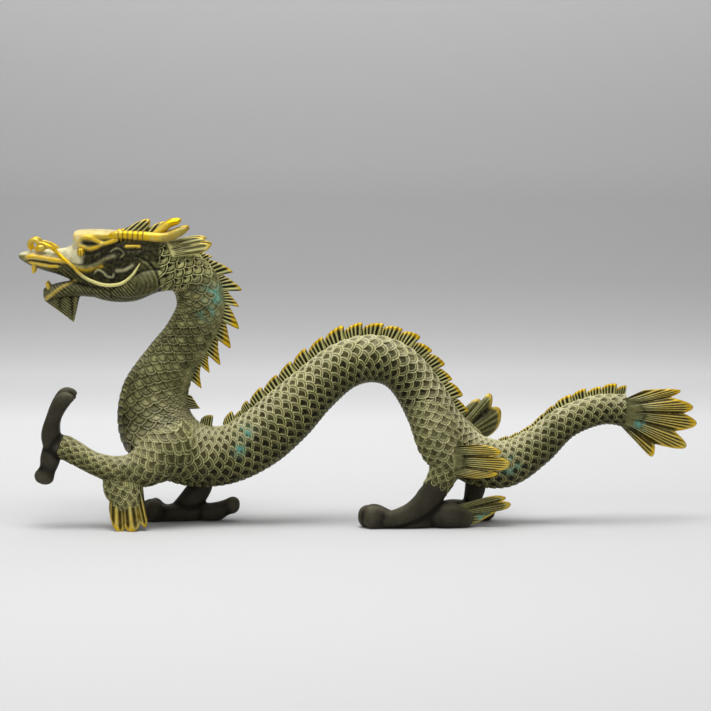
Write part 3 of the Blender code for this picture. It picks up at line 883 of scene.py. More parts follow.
def fan(name, form, thickness, rows=26, columns=30, gilt=1.0, spread=0.0, dark=0.0, lined=1.0, **shape):
    """A tuft or fin: lobes with ribs, gilt where hands have rubbed their rims.

    Spread is how far the gilding reaches inwards, dark is the shade of the whole and lined is how
    strongly the ribs show. The rest goes to the fan's points.
    """
    root, edge = form
    lobes = (len(edge) - 1) // 2
    coarser = 1.0
    shape = {"ribs": 4, "rib_depth": 0.0006, **shape}

    def place(u, v):
        points, marks = fan_points(root, edge, thickness, (0, 1, 0), u, v, **shape)
        rim, outer = marks.pop("rim"), marks.pop("outer")
        marks["gilt"] = gilt * np.clip(rim + spread * outer * (0.25 + 0.75 * marks["ridge"]), 0, 1)
        marks["ridge"] = marks["ridge"] * lined
        marks["hollow"] = marks["hollow"] * lined + dark * (1 - rim)
        marks["bloom"] = spots(points, BLOOM_SPOTS)
        return points, marks

    piece = wrapped_grid(name, int(2 * rows / coarser), int(columns * lobes / coarser), place)
    return finish_piece(piece, "ribbed_patina", dust=0.5)


# Shares along a spine at which its outline is given
SPINE_STEPS = (0.0, 0.25, 0.5, 0.74, 0.84, 0.89, 0.93, 0.965, 1.0)


# Ribs on a spine, and how deep in steps of the pose a spine's root sinks into the back
SPINE_RIBS = 6


SPINE_SUNK = 1.2


def spine_comb(name, first, tips, notch_share, gold, rises):
    """A comb of ribbed spines that lean towards the tail, gilt at their tips."""
    count = len(tips)
    notches, pitches = [first], []
    for tip, _ in tips:
        pitches.append((tip - notches[-1]) / 1.16)
        notches.append(notches[-1] + pitches[-1])
    notches, pitches = np.array(notches), np.array(pitches)
    heights = [height for _, height in tips]
    at_notch = [heights[0]] + [(a + b) / 2 for a, b in zip(heights, heights[1:])] + [heights[-1]]
    knots, levels = [0.0], [at_notch[0]]
    for number, height in enumerate(heights):
        knots += [number + 0.35, number + 0.9, number + 1.0]
        levels += [height, height, at_notch[number + 1]]

    def place(u, v):
        spot = np.clip(v * count, 0, count - 1e-9)
        spine = spot.astype(int)
        share = spot - spine
        root = notches[spine] + np.interp(share, SPINE_STEPS, SPINE_ROOTS) * pitches[spine]
        top = notches[spine] + np.interp(share, SPINE_STEPS, SPINE_TOPS) * pitches[spine]
        profile = np.interp(share, SPINE_STEPS, rises)
        height = (notch_share + (1 - notch_share) * profile) * np.interp(spot, knots, levels)
        foot, foot_back, foot_depth = trunk_frame(root)
        crown, crown_back, crown_depth = trunk_frame(np.minimum(top, len(TRUNK) - 1))
        low = foot + foot_back * (foot_depth - SPINE_SUNK * UNIT)[:, None]
        high = crown + crown_back * (crown_depth + height * UNIT)[:, None]
        outer = u < 0.5
        reach = np.where(outer, 2 * u, 2 - 2 * u)
        rib = np.cos(2 * math.pi * SPINE_RIBS * share)
        edge = ease(reach, 0.9, 0.97)
        half = form_sizes().spine_thickness / 2 * (1 - 0.45 * reach) * np.sqrt(np.clip(1 - reach**14, 0, 1))
        half = half + np.where(reach < 0.999, 0.00026 * rib * (1 - edge), 0)
        half = np.where(reach > 0.001, np.maximum(half, 0), 0)
        points = low + (high - low) * reach[:, None]
        points[:, 1] += np.where(outer, -1, 1) * half
        above = (reach * (height + SPINE_SUNK) - SPINE_SUNK) / np.maximum(height, 0.05)
        begins = np.interp(spot / count, (0, 0.3, 0.6, 1), (gold[0], gold[0] * 0.97, gold[1], gold[1]))
        gilt = ease(above - begins, -0.06, 0.1) * (0.35 + 0.65 * profile)
        marks = {
            "ridge": ease(rib, 0.0, 0.9) * 0.85,
            "hollow": ease(-rib, -0.1, 0.7) * (1 - 0.7 * edge),
            "gilt": np.maximum(gilt, edge * (0.3 + 0.6 * profile)),
            "bloom": spots(points, BLOOM_SPOTS) * 0.4,
        }
        return points, marks

    rows, columns = ((28, 44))
    piece = wrapped_grid(name, rows, columns * count, place)
    return finish_piece(piece, "ribbed_patina", crevices=False, dust=0.3)


def form_sizes():
    """The sizes that a user can change."""
    return bpy.context.scene.dragon_form


def skin_step():
    """Millimetres between the vertices of the scaled skin."""
    return form_sizes().skin_step * 1000 * 1.0


LIMBS = (NEAR_FORELEG, FAR_FORELEG, NEAR_HIND_LEG, FAR_HIND_LEG)


# Feet


def foot_parts(name, y, spread, toe_line, spur_line):
    """Toes and spur of a foot as plain forms that are melted into one."""
    parts = []
    root_x, root_z, _ = toe_line[0]
    for number, side in enumerate((-1.0, 0.0, 1.0)):
        share = 0.93 if side else 1.0
        stations = []
        for step, (x, z, radius) in enumerate(toe_line):
            out = side * spread * (0.25 + 0.75 * step / (len(toe_line) - 1))
            stations.append((root_x + (x - root_x) * share, y + out, root_z + (z - root_z) * share, radius))
        parts.append(tube(f"{name}_toe_{number}", stations, 28, 60, 0.82))
    parts.append(tube(f"{name}_spur", [(x, y, z, radius) for x, z, radius in spur_line], 28, 50))
    return parts


# Shares of a leg's radius that its end has inside the foot
ANKLE_TAPER = (0.985, 0.985, 0.985, 0.985, 0.98, 0.95, 0.8, 0.5)


def ankle(leg, first):
    """The leg's lower end from a station on, tapering into the foot."""
    rows = curve(leg, np.linspace(first, len(leg) - 1, len(ANKLE_TAPER)))
    return [(x, y, z, radius * share) for (x, y, z, radius), share in zip(rows, ANKLE_TAPER)]


FOOT_VOXEL = 0.00085


def foot_skin(name, foot, shin, instep=None):
    """A smooth foot melted into the shin above it, with an instep where there is one."""
    parts = foot_parts(name, *foot)
    parts.append(tube(f"{name}_shin", shin, 32, 40))
    if instep:
        parts.append(tube(f"{name}_instep", instep, 28, 40))
    piece = melted(name, parts, FOOT_VOXEL * (1), 24)
    set_mark(piece.data, "bloom", spots(vertex_rows(piece.data), BLOOM_SPOTS) * 0.6)
    return finish_piece(piece, "foot_brown", dust=0.2)


# Head


# Raised lines and grooves on each side of the face: points of x and z, height in millimetres,
# half width in steps of the pose, and how much gilding, darkening and paleness they carry, the paleness being a
# painted highlight on the raised lines
FACE_LINES = (
    (
        ((-48.9, 39.6), (-47.9, 39.85), (-46.3, 39.7), (-44.8, 39.4), (-43.5, 39.3), (-42.6, 39.3)),
        1.0,
        0.36,
        1.0,
        0.0,
        0.5,
    ),
    (((-48.7, 39.35), (-46.3, 39.1), (-44.8, 38.85), (-43.6, 38.75)), -0.8, 0.2, 0.0, 1.0, 0.0),
    (((-48.5, 39.1), (-46.8, 38.75), (-45.4, 38.5), (-43.8, 38.45)), 0.7, 0.24, 0.95, 0.0, 0.0),
    (
        ((-41.9, 38.75), (-40.7, 38.35), (-39.4, 38.45), (-38.2, 38.85), (-36.8, 39.6), (-35.2, 40.1)),
        1.1,
        0.36,
        0.06,
        0.0,
        0.1,
    ),
    (((-41.3, 38.2), (-39.9, 37.95), (-38.4, 38.25), (-37.2, 38.7)), 0.0, 0.3, 0.85, 0.0, 0.0),
    (
        ((-38.7, 37.4), (-38.1, 38.0), (-37.3, 37.7), (-36.7, 37.1), (-35.9, 37.0), (-35.8, 37.6)),
        0.6,
        0.17,
        0.0,
        0.0,
        0.3,
    ),
    (((-46.2, 33.4), (-45.0, 34.3), (-43.6, 35.3), (-42.3, 36.0), (-41.4, 36.4)), 0.9, 0.26, 0.95, 0.0, 0.2),
    (((-41.2, 41.9), (-40.5, 42.6), (-39.4, 42.7), (-38.2, 42.2), (-37.2, 41.7)), 0.9, 0.34, 1.0, 0.0, 0.3),
    (
        ((-41.2, 41.8), (-40.3, 41.3), (-39.2, 41.1), (-38.2, 41.35), (-37.3, 41.75), (-36.2, 42.1), (-35.0, 42.6)),
        1.1,
        0.32,
        1.0,
        0.0,
        0.1,
    ),
    (((-40.4, 41.85), (-39.3, 41.8), (-38.3, 41.8)), -0.8, 0.24, 0.0, 1.0, 0.0),
    (((-41.0, 40.9), (-39.6, 40.3), (-38.4, 40.6), (-37.4, 41.1)), -0.8, 0.28, 0.0, 0.9, 0.0),
    (((-34.2, 41.4), (-33.0, 41.45), (-31.8, 41.4)), 0.7, 0.22, 1.0, 0.0, 0.0),
    (((-34.3, 40.95), (-33.0, 40.9), (-31.7, 40.95)), -0.5, 0.2, 0.0, 0.8, 0.0),
    (((-36.4, 40.6), (-35.2, 41.1), (-34.3, 40.4), (-34.9, 39.7)), 0.5, 0.16, 0.0, 0.0, 0.08),
    (((-35.6, 37.9), (-34.2, 38.0), (-32.8, 38.8)), 0.5, 0.26, 0.0, 0.0, 0.4),
)


# A line of x and z along the whisker, above which lies the face and below which lies the jaw's hair
WHISKER = (
    (-47.0, 41.9, 0.3, -1.6),
    (-46.0, 41.65, 0.32, -1.9),
    (-44.7, 41.0, 0.3, -2.4),
    (-43.2, 39.6, 0.27, -2.6),
    (-41.7, 38.4, 0.25, -2.8),
    (-40.9, 37.5, 0.25, -3.0),
    (-39.8, 36.7, 0.26, -3.1),
    (-37.9, 35.95, 0.26, -3.3),
    (-36.2, 35.75, 0.26, -3.4),
    (-34.5, 36.1, 0.25, -3.6),
    (-33.0, 37.3, 0.22, -3.7),
    (-31.9, 39.0, 0.14, -3.5),
)


# Forehead between the brows: x, lowest z, highest z, half the width
FOREHEAD = (
    (-41.8, 41.2, 43.2, 2.5),
    (-41.5, 40.6, 43.6, 2.85),
    (-39.5, 40.4, 43.75, 3.1),
    (-37.0, 40.6, 43.7, 3.15),
    (-35.4, 41.0, 43.5, 3.0),
    (-34.4, 41.4, 43.2, 2.4),
)


# Beard as it shows, with straight edges: its root line, then its rim
SHOWN_BEARD = (
    BEARD[0],
    (
        (-46.3, 0, 33.2),
        (-45.2, 0, 32.4),
        (-44.1, 0, 31.6),
        (-43.0, 0, 30.75),
        (-42.0, 0, 29.9),
        (-41.6, 0, 31.6),
        (-41.2, 0, 33.4),
    ),
)
# Skull as it shows, narrower where it sinks into the neck
SHOWN_SKULL = ((-23.6, 35.4, 39.2, 1.6), (-26.0, 34.8, 41.0, 2.3)) + SKULL[2:]


def line_distance(x, z, line):
    """How far places lie from a smooth line, in steps of the pose, and at what share of the line."""
    fine = curve(line, np.linspace(0, len(line) - 1, 10 * (len(line) - 1) + 1))
    near, share = np.full(len(x), 99.0), np.zeros(len(x))
    for number, (first, second) in enumerate(zip(fine, fine[1:])):
        edge = second - first
        along = np.clip(((x - first[0]) * edge[0] + (z - first[1]) * edge[1]) / max(edge @ edge, 1e-9), 0, 1)
        off = np.hypot(x - first[0] - along * edge[0], z - first[1] - along * edge[1])
        closer = off < near
        near = np.where(closer, off, near)
        share = np.where(closer, (number + along) / (len(fine) - 1), share)
    return near, share


def head_loft(name, stations, columns, rows, top=2.0, bottom=2.0):
    """A form of the head with upright sections, squarer where top or bottom is over two."""

    def place(u, v):
        row = curve(stations, v * (len(stations) - 1))
        turn = 2 * math.pi * u
        power = np.where(np.sin(turn) > 0, top, bottom)
        across = np.sign(np.cos(turn)) * np.abs(np.cos(turn)) ** (2 / power)
        rise = np.sign(np.sin(turn)) * np.abs(np.sin(turn)) ** (2 / power)
        middle, half = (row[:, 1] + row[:, 2]) / 2, (row[:, 2] - row[:, 1]) / 2
        points = np.stack((row[:, 0], across * np.maximum(row[:, 3], 0.05), middle + rise * half), axis=1) * UNIT
        return points, {}

    return wrapped_grid(name, columns, rows, place)


def head_core():
    """Skull, forehead, jowls, jaw, beard and the top of the neck in one skin."""
    parts = [
        head_loft("skull", SHOWN_SKULL, 72, 120, top=2.5, bottom=2.1),
        head_loft("jaw", JAW, 48, 60),
        head_loft("forehead", FOREHEAD, 72, 60, top=4.0, bottom=4.0),
    ]
    for side in (1, -1):
        parts.append(tube("jowl", [(x, y * side, z, radius) for x, y, z, radius in JOWL], 28, 40))
    middle, _, depth = trunk_frame(np.linspace(0, 1.25, 5))
    neck = [
        (place[0], 0.0, place[2], radius * shrink)
        for place, radius, shrink in zip(middle / UNIT, depth / UNIT, (1.0, 1.0, 1.0, 0.99, 0.9))
    ]
    parts.append(tube("neck_collar", neck, 48, 40, TRUNK_NARROWING))
    beard = lambda u, v: (fan_points(*SHOWN_BEARD, 0.0105, (0, 1, 0), u, v, 4, 0.0, valleys=0.0)[0], {})
    parts.append(wrapped_grid("beard", 40, 80, beard))
    piece = melted("head", parts, HEAD_VOXEL * (1), 3)
    carve_head(piece)
    return piece


# Middle of the gill's curved strands, in x and z of the pose, and the pitches of three kinds of strand
GILL = (-33.4, 35.8)


FUR_PITCH, HAIR_PITCH, GILL_PITCH = 0.44, 0.34, 0.66


BAND_PITCH = 0.62


def head_regions(x, z, up):
    """Shares from nothing to one of the head's regions, by name, at x and z of the pose."""
    below = np.interp(x, *np.array(WHISKER)[:, :2].T) - z
    beard = ease(-41.0 - x, -1.2, 0.6) * ease(34.6 - z, 0.0, 0.8)
    gill_off = np.hypot(x - GILL[0], z - GILL[1])
    gill_turn = np.degrees(np.arctan2(z - GILL[1], x - GILL[0]))
    gill = ease(-gill_off, -4.6, -4.3) * ease(below, -1.2, -0.2) * ease(x, -33.6, -32.2)
    gill *= ease(gill_turn, -75, -50) * ease(-gill_turn, -105, -70)
    jaw = ease(below, 0.1, 0.5) * (1 - beard) * (1 - gill) * ease(x, -45.8, -44.6)
    upper_lip = np.interp(x, (-49, -43.5, -41.8, -40), (39.9, 39.5, 38.8, 38.6))
    lower_lip = np.interp(x, (-46, -42), (34.2, 36.6))
    temple = ease(x, -41.4, -39.6) * ease(below, 0.2, -0.3)
    band = ease(z, 42.0, 42.25) * ease(x, -35.9, -35.4)
    return {
        "below": below,
        "beard": beard,
        "gill": gill,
        "gill_off": gill_off,
        "jaw": jaw * ease(-31.0 - x, -1.5, 1.0) * ease(39.0 - z, 0.0, 1.5),
        "forehead": ease(z, 42.2, 42.7) * ease(-34.4 - x, 0.0, 1.0) * ease(x, -42.8, -41.8),
        "block": ease(z, 40.9, 41.6) * ease(-40.6 - x, 0.0, 0.6) * ease(x, -42.9, -42.2),
        "snout": ease(-40.0 - x, 0.0, 1.0) * ease(z - upper_lip, 0.0, 0.4),
        "mouth": ease(-42.6 - x, 0.0, 1.0) * ease(38.1 - z, 0.0, 0.6) * ease(z - lower_lip, 0.2, 0.6),
        "temple": temple * ease(42.3 - z, 0.0, 0.6) * ease(-27.0 - x, -1.0, 2.0),
        "band": band * ease(-x, 27.0, 28.5) * (1 - ease(up, 0.5, 0.9)),
        "neck": ease(x, -29.6, -28.4),
    }


def neck_carving(rows):
    """Relief in millimetres and marks of the scales where the head meets the neck."""
    samples = np.linspace(0, 2.2, 420)
    middle, back, depth = trunk_frame(samples)
    nearest = ((rows[:, 0:1] - middle[:, 0]) ** 2 + (rows[:, 2:3] - middle[:, 2]) ** 2).argmin(axis=1)
    out = rows - middle[nearest]
    from_back = np.arctan2(np.abs(out[:, 1]) / TRUNK_NARROWING, np.einsum("ij,ij->i", out, back[nearest]))
    position = samples[nearest]
    ahead = out[:, 0] * back[0, 2] - out[:, 2] * back[0, 0]
    distance = np.interp(position, TRUNK_POSITIONS, TRUNK_RUN)
    distance += np.where(nearest == 0, np.minimum(ahead, 0) * 1000, 0)
    relief, marks = trunk_carving(rows, position, distance, depth[nearest], from_back)
    return relief * 1000, marks


def carve_head(piece):
    """Cuts the face's lines, hair and gill and the neck's first scales, and marks where each tone lies."""
    mesh = piece.data
    rows, normals = vertex_rows(mesh), vertex_rows(mesh, "normal")
    x, _, z = rows.T / UNIT
    up = normals[:, 2]
    flank = ease(np.abs(normals[:, 1]), 0.1, 0.45)
    area = head_regions(x, z, up)
    jaw, beard, gill, gill_off, band = (area[key] for key in ("jaw", "beard", "gill", "gill_off", "band"))
    relief, gilt, pale = np.zeros(len(x)), np.zeros(len(x)), np.zeros(len(x))
    shade = 0.55 * (1 - np.maximum(area["neck"], np.maximum(area["snout"], area["forehead"])))
    for line, height, reach, gold, dark, light in FACE_LINES:
        off, share = line_distance(x, z, line)
        hill = bump(off, 0, reach) * flank * (0.25 + 0.75 * ease(np.minimum(share, 1 - share), 0.0, 0.12))
        relief += hill * height
        gilt, pale = np.maximum(gilt, gold * hill), np.maximum(pale, light * hill)
        shade = np.maximum(shade, dark * hill) * (1 - np.maximum(gold, light) * hill)

    strand = x * 0.72 + z * 0.69 + 0.12 * np.sin(x * 1.1)
    fur = (0.35 + 0.65 * speckle(np.floor(strand / FUR_PITCH))) * np.cos(2 * math.pi * strand / FUR_PITCH)
    hair = np.cos(2 * math.pi * (x * 0.59 + z * 0.81) / HAIR_PITCH)
    rings = np.cos(2 * math.pi * gill_off / GILL_PITCH + 0.8 * np.sin(z * 1.7))
    rings *= 0.4 + 0.6 * speckle(np.floor(gill_off / GILL_PITCH))
    edge = bump(gill_off, 4.3, 0.22) * ease(area["below"], -3.4, -2.6) * ease(x, -33.4, -31.6) * ease(z, 33.4, 34.0)
    relief += (0.2 * fur * jaw + 0.16 * hair * beard + 0.05 * rings * gill) * flank
    relief += flank * (-0.7 * edge + 0.8 * np.exp(-((x + 37.0) ** 2 + (z - 37.4) ** 2) / 3.2))
    relief -= flank * 0.5 * ease(x, -38.6, -37.2) * ease(-33.0 - x, -1.0, 0.5) * bump(z, 40.4, 0.9)
    relief += flank * 0.3 * band * np.cos(2 * math.pi * x / BAND_PITCH)

    near = np.nonzero(area["neck"] > 0.01)[0]
    share = area["neck"][near]
    scales, marks = neck_carving(rows[near])
    relief[near] += scales * share
    set_vertex_rows(mesh, rows + normals * relief[:, None] / 1000)

    beads = ease(np.cos(2 * math.pi * x / BAND_PITCH), -0.6, 0.3)
    gilt = np.maximum(gilt, 0.5 * area["forehead"] * (1 - 0.3 * ease(up, 0.5, 0.9)))
    gilt = np.maximum(gilt, 0.85 * band * beads * ease(-31.4 - x, -0.6, 0.4))
    pale = np.maximum(pale, 0.9 * area["forehead"] * ease(up, 0.2, 0.8))
    pale = np.maximum(pale, 0.95 * np.maximum(area["snout"], area["block"]))
    shade = np.maximum(shade, 0.9 * area["temple"] * flank * (1 - np.maximum(gilt, pale)))
    # Painted shade in the mouth between the lips, and darkening in the gill's edge groove
    shade = np.maximum(shade, np.maximum(0.85 * area["mouth"], 0.9 * edge * flank))
    dark_hair = (0.66 + 0.2 * ease(-fur, 0, 1)) * jaw + 0.68 * ease(-hair, -0.5, 1) * beard
    shade = np.maximum(shade, flank * (dark_hair + (0.66 + 0.12 * ease(-rings, 0, 1)) * gill))
    ridge = 0.1 * ease(fur, 0.4, 0.9) * jaw + 0.35 * ease(hair, 0.2, 0.9) * beard
    ridge = flank * (ridge + 0.04 * ease(rings, 0.2, 0.9) * gill)
    ridge[near] = ridge[near] * (1 - share) + marks["ridge"] * share
    shade[near] = shade[near] * (1 - share) + marks["hollow"] * share
    for key, values in (("gilt", gilt), ("hollow", shade), ("pale", pale), ("ridge", ridge), ("tint", 0.4 + 0 * x)):
        set_mark(mesh, key, values)


def whiskers(find):
    """A raised line from the nostril under the eye, laid on the head's near skin, and its twin."""
    rows = np.array(WHISKER, float)
    fine = curve(rows, np.linspace(0, len(rows) - 1, (len(rows) - 1) * 4 + 1))
    stations = np.array([[x, find(x, z, fallback) - 0.8 * radius, z, radius] for x, z, radius, fallback in fine])
    smoothings = 6
    for _ in range(smoothings):
        stations[1:-1, 1] = (stations[:-2, 1] + stations[2:, 1]) / 4 + stations[1:-1, 1] / 2
    length = run_lengths(stations[:, :3])[-1] * UNIT * 1000

    def worn(u, v):
        bare = ease(v, 0.36, 0.52)
        return np.zeros(len(u)), {"gilt": 1 - 0.9 * bare, "ridge": bare * 0.8}

    rings = max(24, int(length / 0.5))
    piece = tube("near_whisker", [tuple(row) for row in stations], 16, rings, relief=worn)
    twin = mirrored(piece, "far_whisker")
    finish_piece(piece, "rubbed_gilt")
    finish_piece(twin, "rubbed_gilt")


def gilded(amount=1.0):
    """Plain marks of gilding for a tube."""
    return lambda u, v: (np.zeros(len(u)), {"gilt": np.full(len(u), amount)})


def skin_finder(core):
    """A function that gives how far out the head's near skin lies at x and z of the pose."""
    places = [vertex.co.copy() for vertex in core.data.vertices]
    tree = BVHTree.FromPolygons(places, [tuple(face.vertices) for face in core.data.polygons])

    def find(x, z, fallback):
        hit = tree.ray_cast(Vector((x * UNIT, -0.1, z * UNIT)), Vector((0, 1, 0)))[0]
        return fallback if hit is None or hit.y > 0 else hit.y / UNIT

    return find


# Finishes


def rgb(value):
    """A colour with its opacity."""
    return (*value, 1.0)


def link_maths(tree, operation, first, second, clamp=False):
    """A Math node fed by sockets or plain numbers, and its output."""
    node = tree.nodes.new("ShaderNodeMath")
    node.operation = operation
    node.use_clamp = clamp
    for socket, value in zip(node.inputs, (first, second)):
        if isinstance(value, (int, float)):
            socket.default_value = value
        else:
            tree.links.new(value, socket)
    return node.outputs[0]


def link_mix(tree, share, first, second, blend="MIX"):
    """A colour Mix node fed by sockets or colours, and its output."""
    node = tree.nodes.new("ShaderNodeMix")
    node.data_type = "RGBA"
    node.blend_type = blend
    for socket, value in ((node.inputs[0], share), (node.inputs[6], first), (node.inputs[7], second)):
        if isinstance(value, (int, float, tuple)):
            socket.default_value = value
        else:
            tree.links.new(value, socket)
    return node.outputs[2]


def link_noise(tree, vector, scale, detail, roughness=0.6):
    """A Noise node on a vector, and its value."""
    node = tree.nodes.new("ShaderNodeTexNoise")
    node.inputs["Scale"].default_value = scale
    node.inputs["Detail"].default_value = detail
    node.inputs["Roughness"].default_value = roughness
    tree.links.new(vector, node.inputs["Vector"])
    return node.outputs["Fac"]


def link_range(tree, value, low, high):
    """A value stretched from low and high to nothing and one."""
    node = tree.nodes.new("ShaderNodeMapRange")
    node.interpolation_type = "SMOOTHSTEP"
    node.inputs["From Min"].default_value = low
    node.inputs["From Max"].default_value = high
    tree.links.new(value, node.inputs["Value"])
    return node.outputs["Result"]


def new_group(name, inputs, outputs):
    """An empty shader group with its sockets, and its input and output nodes."""
    group = bpy.data.node_groups.new(name, "ShaderNodeTree")
    kinds = {"colour": "NodeSocketColor", "value": "NodeSocketFloat", "vector": "NodeSocketVector"}
    for key, kind, value in inputs:
        socket = group.interface.new_socket(key, in_out="INPUT", socket_type=kinds[kind])
        if value is not None:
            socket.default_value = value
    for key, kind in outputs:
        group.interface.new_socket(key, in_out="OUTPUT", socket_type=kinds[kind])
    return group, group.nodes.new("NodeGroupInput").outputs, group.nodes.new("NodeGroupOutput").inputs


def link_linear(tree, value, factor, offset, clamp=False):
    """A socket's value times a factor plus an offset."""
    return link_maths(tree, "ADD", link_maths(tree, "MULTIPLY", value, factor), offset, clamp)


def shared_group(inputs, outputs):
    """Turns a function that fills a shader group into one that builds the group of its name once."""

    def wrap(build):
        def get():
            name = build.__name__
            if name not in bpy.data.node_groups:
                build(*new_group(name, inputs, outputs))
            return bpy.data.node_groups[name]

        return get

    return wrap


# What each group that lies over another colour is given
OVER_INPUTS = (("Vector", "vector", None), ("Color", "colour", (0.1, 0.1, 0.05, 1)), ("Amount", "value", 0.0))


@shared_group(
    (
        ("Vector", "vector", None),
        ("Ridge", "value", 0.0),
        ("Hollow", "value", 0.0),
        ("Tint", "value", 0.5),
        ("Base", "colour", (0.1, 0.1, 0.05, 1)),
        ("Light", "colour", (0.3, 0.3, 0.15, 1)),
        ("Dark", "colour", (0.01, 0.01, 0.01, 1)),
    ),
    (("Color", "colour"), ("Roughness", "value")),
)
def aged_patina(tree, given, made):
    """Olive patina that is pale on ridges and near black in hollows and under painted shade, in slow clouds."""
    clouds = link_range(tree, link_noise(tree, given["Vector"], 38, 5), 0.35, 0.7)
    grain = link_range(tree, link_noise(tree, given["Vector"], 420, 3), 0.3, 0.7)
    base = link_mix(tree, clouds, link_mix(tree, 0.45, given["Base"], given["Dark"]), given["Base"])
    base = link_mix(tree, link_maths(tree, "MULTIPLY", given["Tint"], 0.22), base, given["Light"])
    worn = link_maths(tree, "MULTIPLY", given["Ridge"], link_linear(tree, clouds, 0.5, 0.6), True)
    lit = link_mix(tree, worn, base, given["Light"])
    # The hollow mark darkens towards the dark colour: dark patina in grooves, and painted shade under scale edges and
    # on undersides
    deep = link_maths(tree, "MULTIPLY", given["Hollow"], link_linear(tree, grain, 0.3, 0.82), True)
    shaded = link_mix(tree, deep, lit, given["Dark"])
    speck = link_maths(tree, "MULTIPLY", grain, 0.22)
    tree.links.new(link_mix(tree, speck, shaded, given["Base"], "MULTIPLY"), made["Color"])
    tree.links.new(link_linear(tree, clouds, 0.16, 0.42), made["Roughness"])


@shared_group(
    OVER_INPUTS + (("Dust", "colour", (0.6, 0.58, 0.42, 1)),),
    (("Color", "colour"), ("Mask", "value")),
)
def settled_dust(tree, given, made):
    """Pale powder on upward faces together with painted top light, broken up by noise."""
    patches = link_range(tree, link_noise(tree, given["Vector"], 110, 6, 0.7), 0.28, 0.62)
    amount = link_maths(tree, "MULTIPLY", given["Amount"], link_linear(tree, patches, 0.75, 0.25), True)
    tree.links.new(link_mix(tree, amount, given["Color"], given["Dust"]), made["Color"])
    tree.links.new(amount, made["Mask"])


@shared_group(OVER_INPUTS + (("Bloom", "colour", (0.1, 0.5, 0.42, 1)),), (("Color", "colour"),))
def copper_bloom(tree, given, made):
    """Turquoise copper salts in small patches."""
    patches = link_range(tree, link_noise(tree, given["Vector"], 160, 4), 0.42, 0.6)
    amount = link_maths(tree, "MULTIPLY", given["Amount"], patches, True)
    tree.links.new(link_mix(tree, amount, given["Color"], given["Bloom"]), made["Color"])


@shared_group(
    OVER_INPUTS + (("Hollow", "value", 0.0), ("Gold", "colour", (0.8, 0.5, 0.08, 1))),
    (("Color", "colour"), ("Mask", "value")),
)
def rubbed_gilding(tree, given, made):
    """Old gilding that stays on rims and tips and has worn through in spots."""
    patches = link_range(tree, link_noise(tree, given["Vector"], 130, 5, 0.65), 0.3, 0.55)
    kept = link_maths(tree, "MULTIPLY", given["Amount"], link_linear(tree, patches, 0.6, 0.4), True)
    clear = link_maths(tree, "SUBTRACT", 1.0, link_maths(tree, "MULTIPLY", given["Hollow"], 0.8), True)
    kept = link_maths(tree, "MULTIPLY", kept, clear, True)
    warm = link_mix(tree, link_noise(tree, given["Vector"], 60, 3), given["Gold"], (0.50, 0.30, 0.004, 1.0))
    tree.links.new(link_mix(tree, kept, given["Color"], warm), made["Color"])
    tree.links.new(kept, made["Mask"])


@shared_group((("Vector", "vector", None), ("Pits", "value", 0.5)), (("Height", "value"),))
def casting_grain(tree, given, made):
    """The fine pitted grain of sand-cast metal."""
    fine = link_noise(tree, given["Vector"], 900, 3)
    cells = tree.nodes.new("ShaderNodeTexVoronoi")
    cells.inputs["Scale"].default_value = 420
    tree.links.new(given["Vector"], cells.inputs["Vector"])
    pits = link_maths(tree, "MULTIPLY", link_range(tree, cells.outputs["Distance"], 0.05, 0.3), given["Pits"])
    tree.links.new(link_maths(tree, "ADD", fine, pits), made["Height"])


# Each finish: how strongly it takes gilding and the dust with its painted top light, how deep its grain is and how
# metallic it is
FINISHES = {
    "scaled_patina": {"gilt": 0.0, "dust": 1.0, "grain": 0.3, "metal": 0.0},
    "ribbed_patina": {"gilt": 1.0, "dust": 0.5, "grain": 0.25, "metal": 0.05},
    "rubbed_gilt": {"gilt": 1.0, "dust": 0.35, "grain": 0.15, "metal": 0.1},
    "face_patina": {"gilt": 1.0, "dust": 1.0, "grain": 0.3, "metal": 0.0},
    "foot_brown": {"gilt": 0.4, "dust": 0.7, "grain": 0.35, "metal": 0.0},
}


def add_group(tree, group, **sources):
    """Places a group in a material and feeds its inputs from sockets or plain values."""
    node = tree.nodes.new("ShaderNodeGroup")
    node.node_tree = group
    for key, source in sources.items():
        socket = node.inputs[key]
        if isinstance(source, bpy.types.NodeSocket):
            tree.links.new(source, socket)
        else:
            socket.default_value = source
    return node.outputs


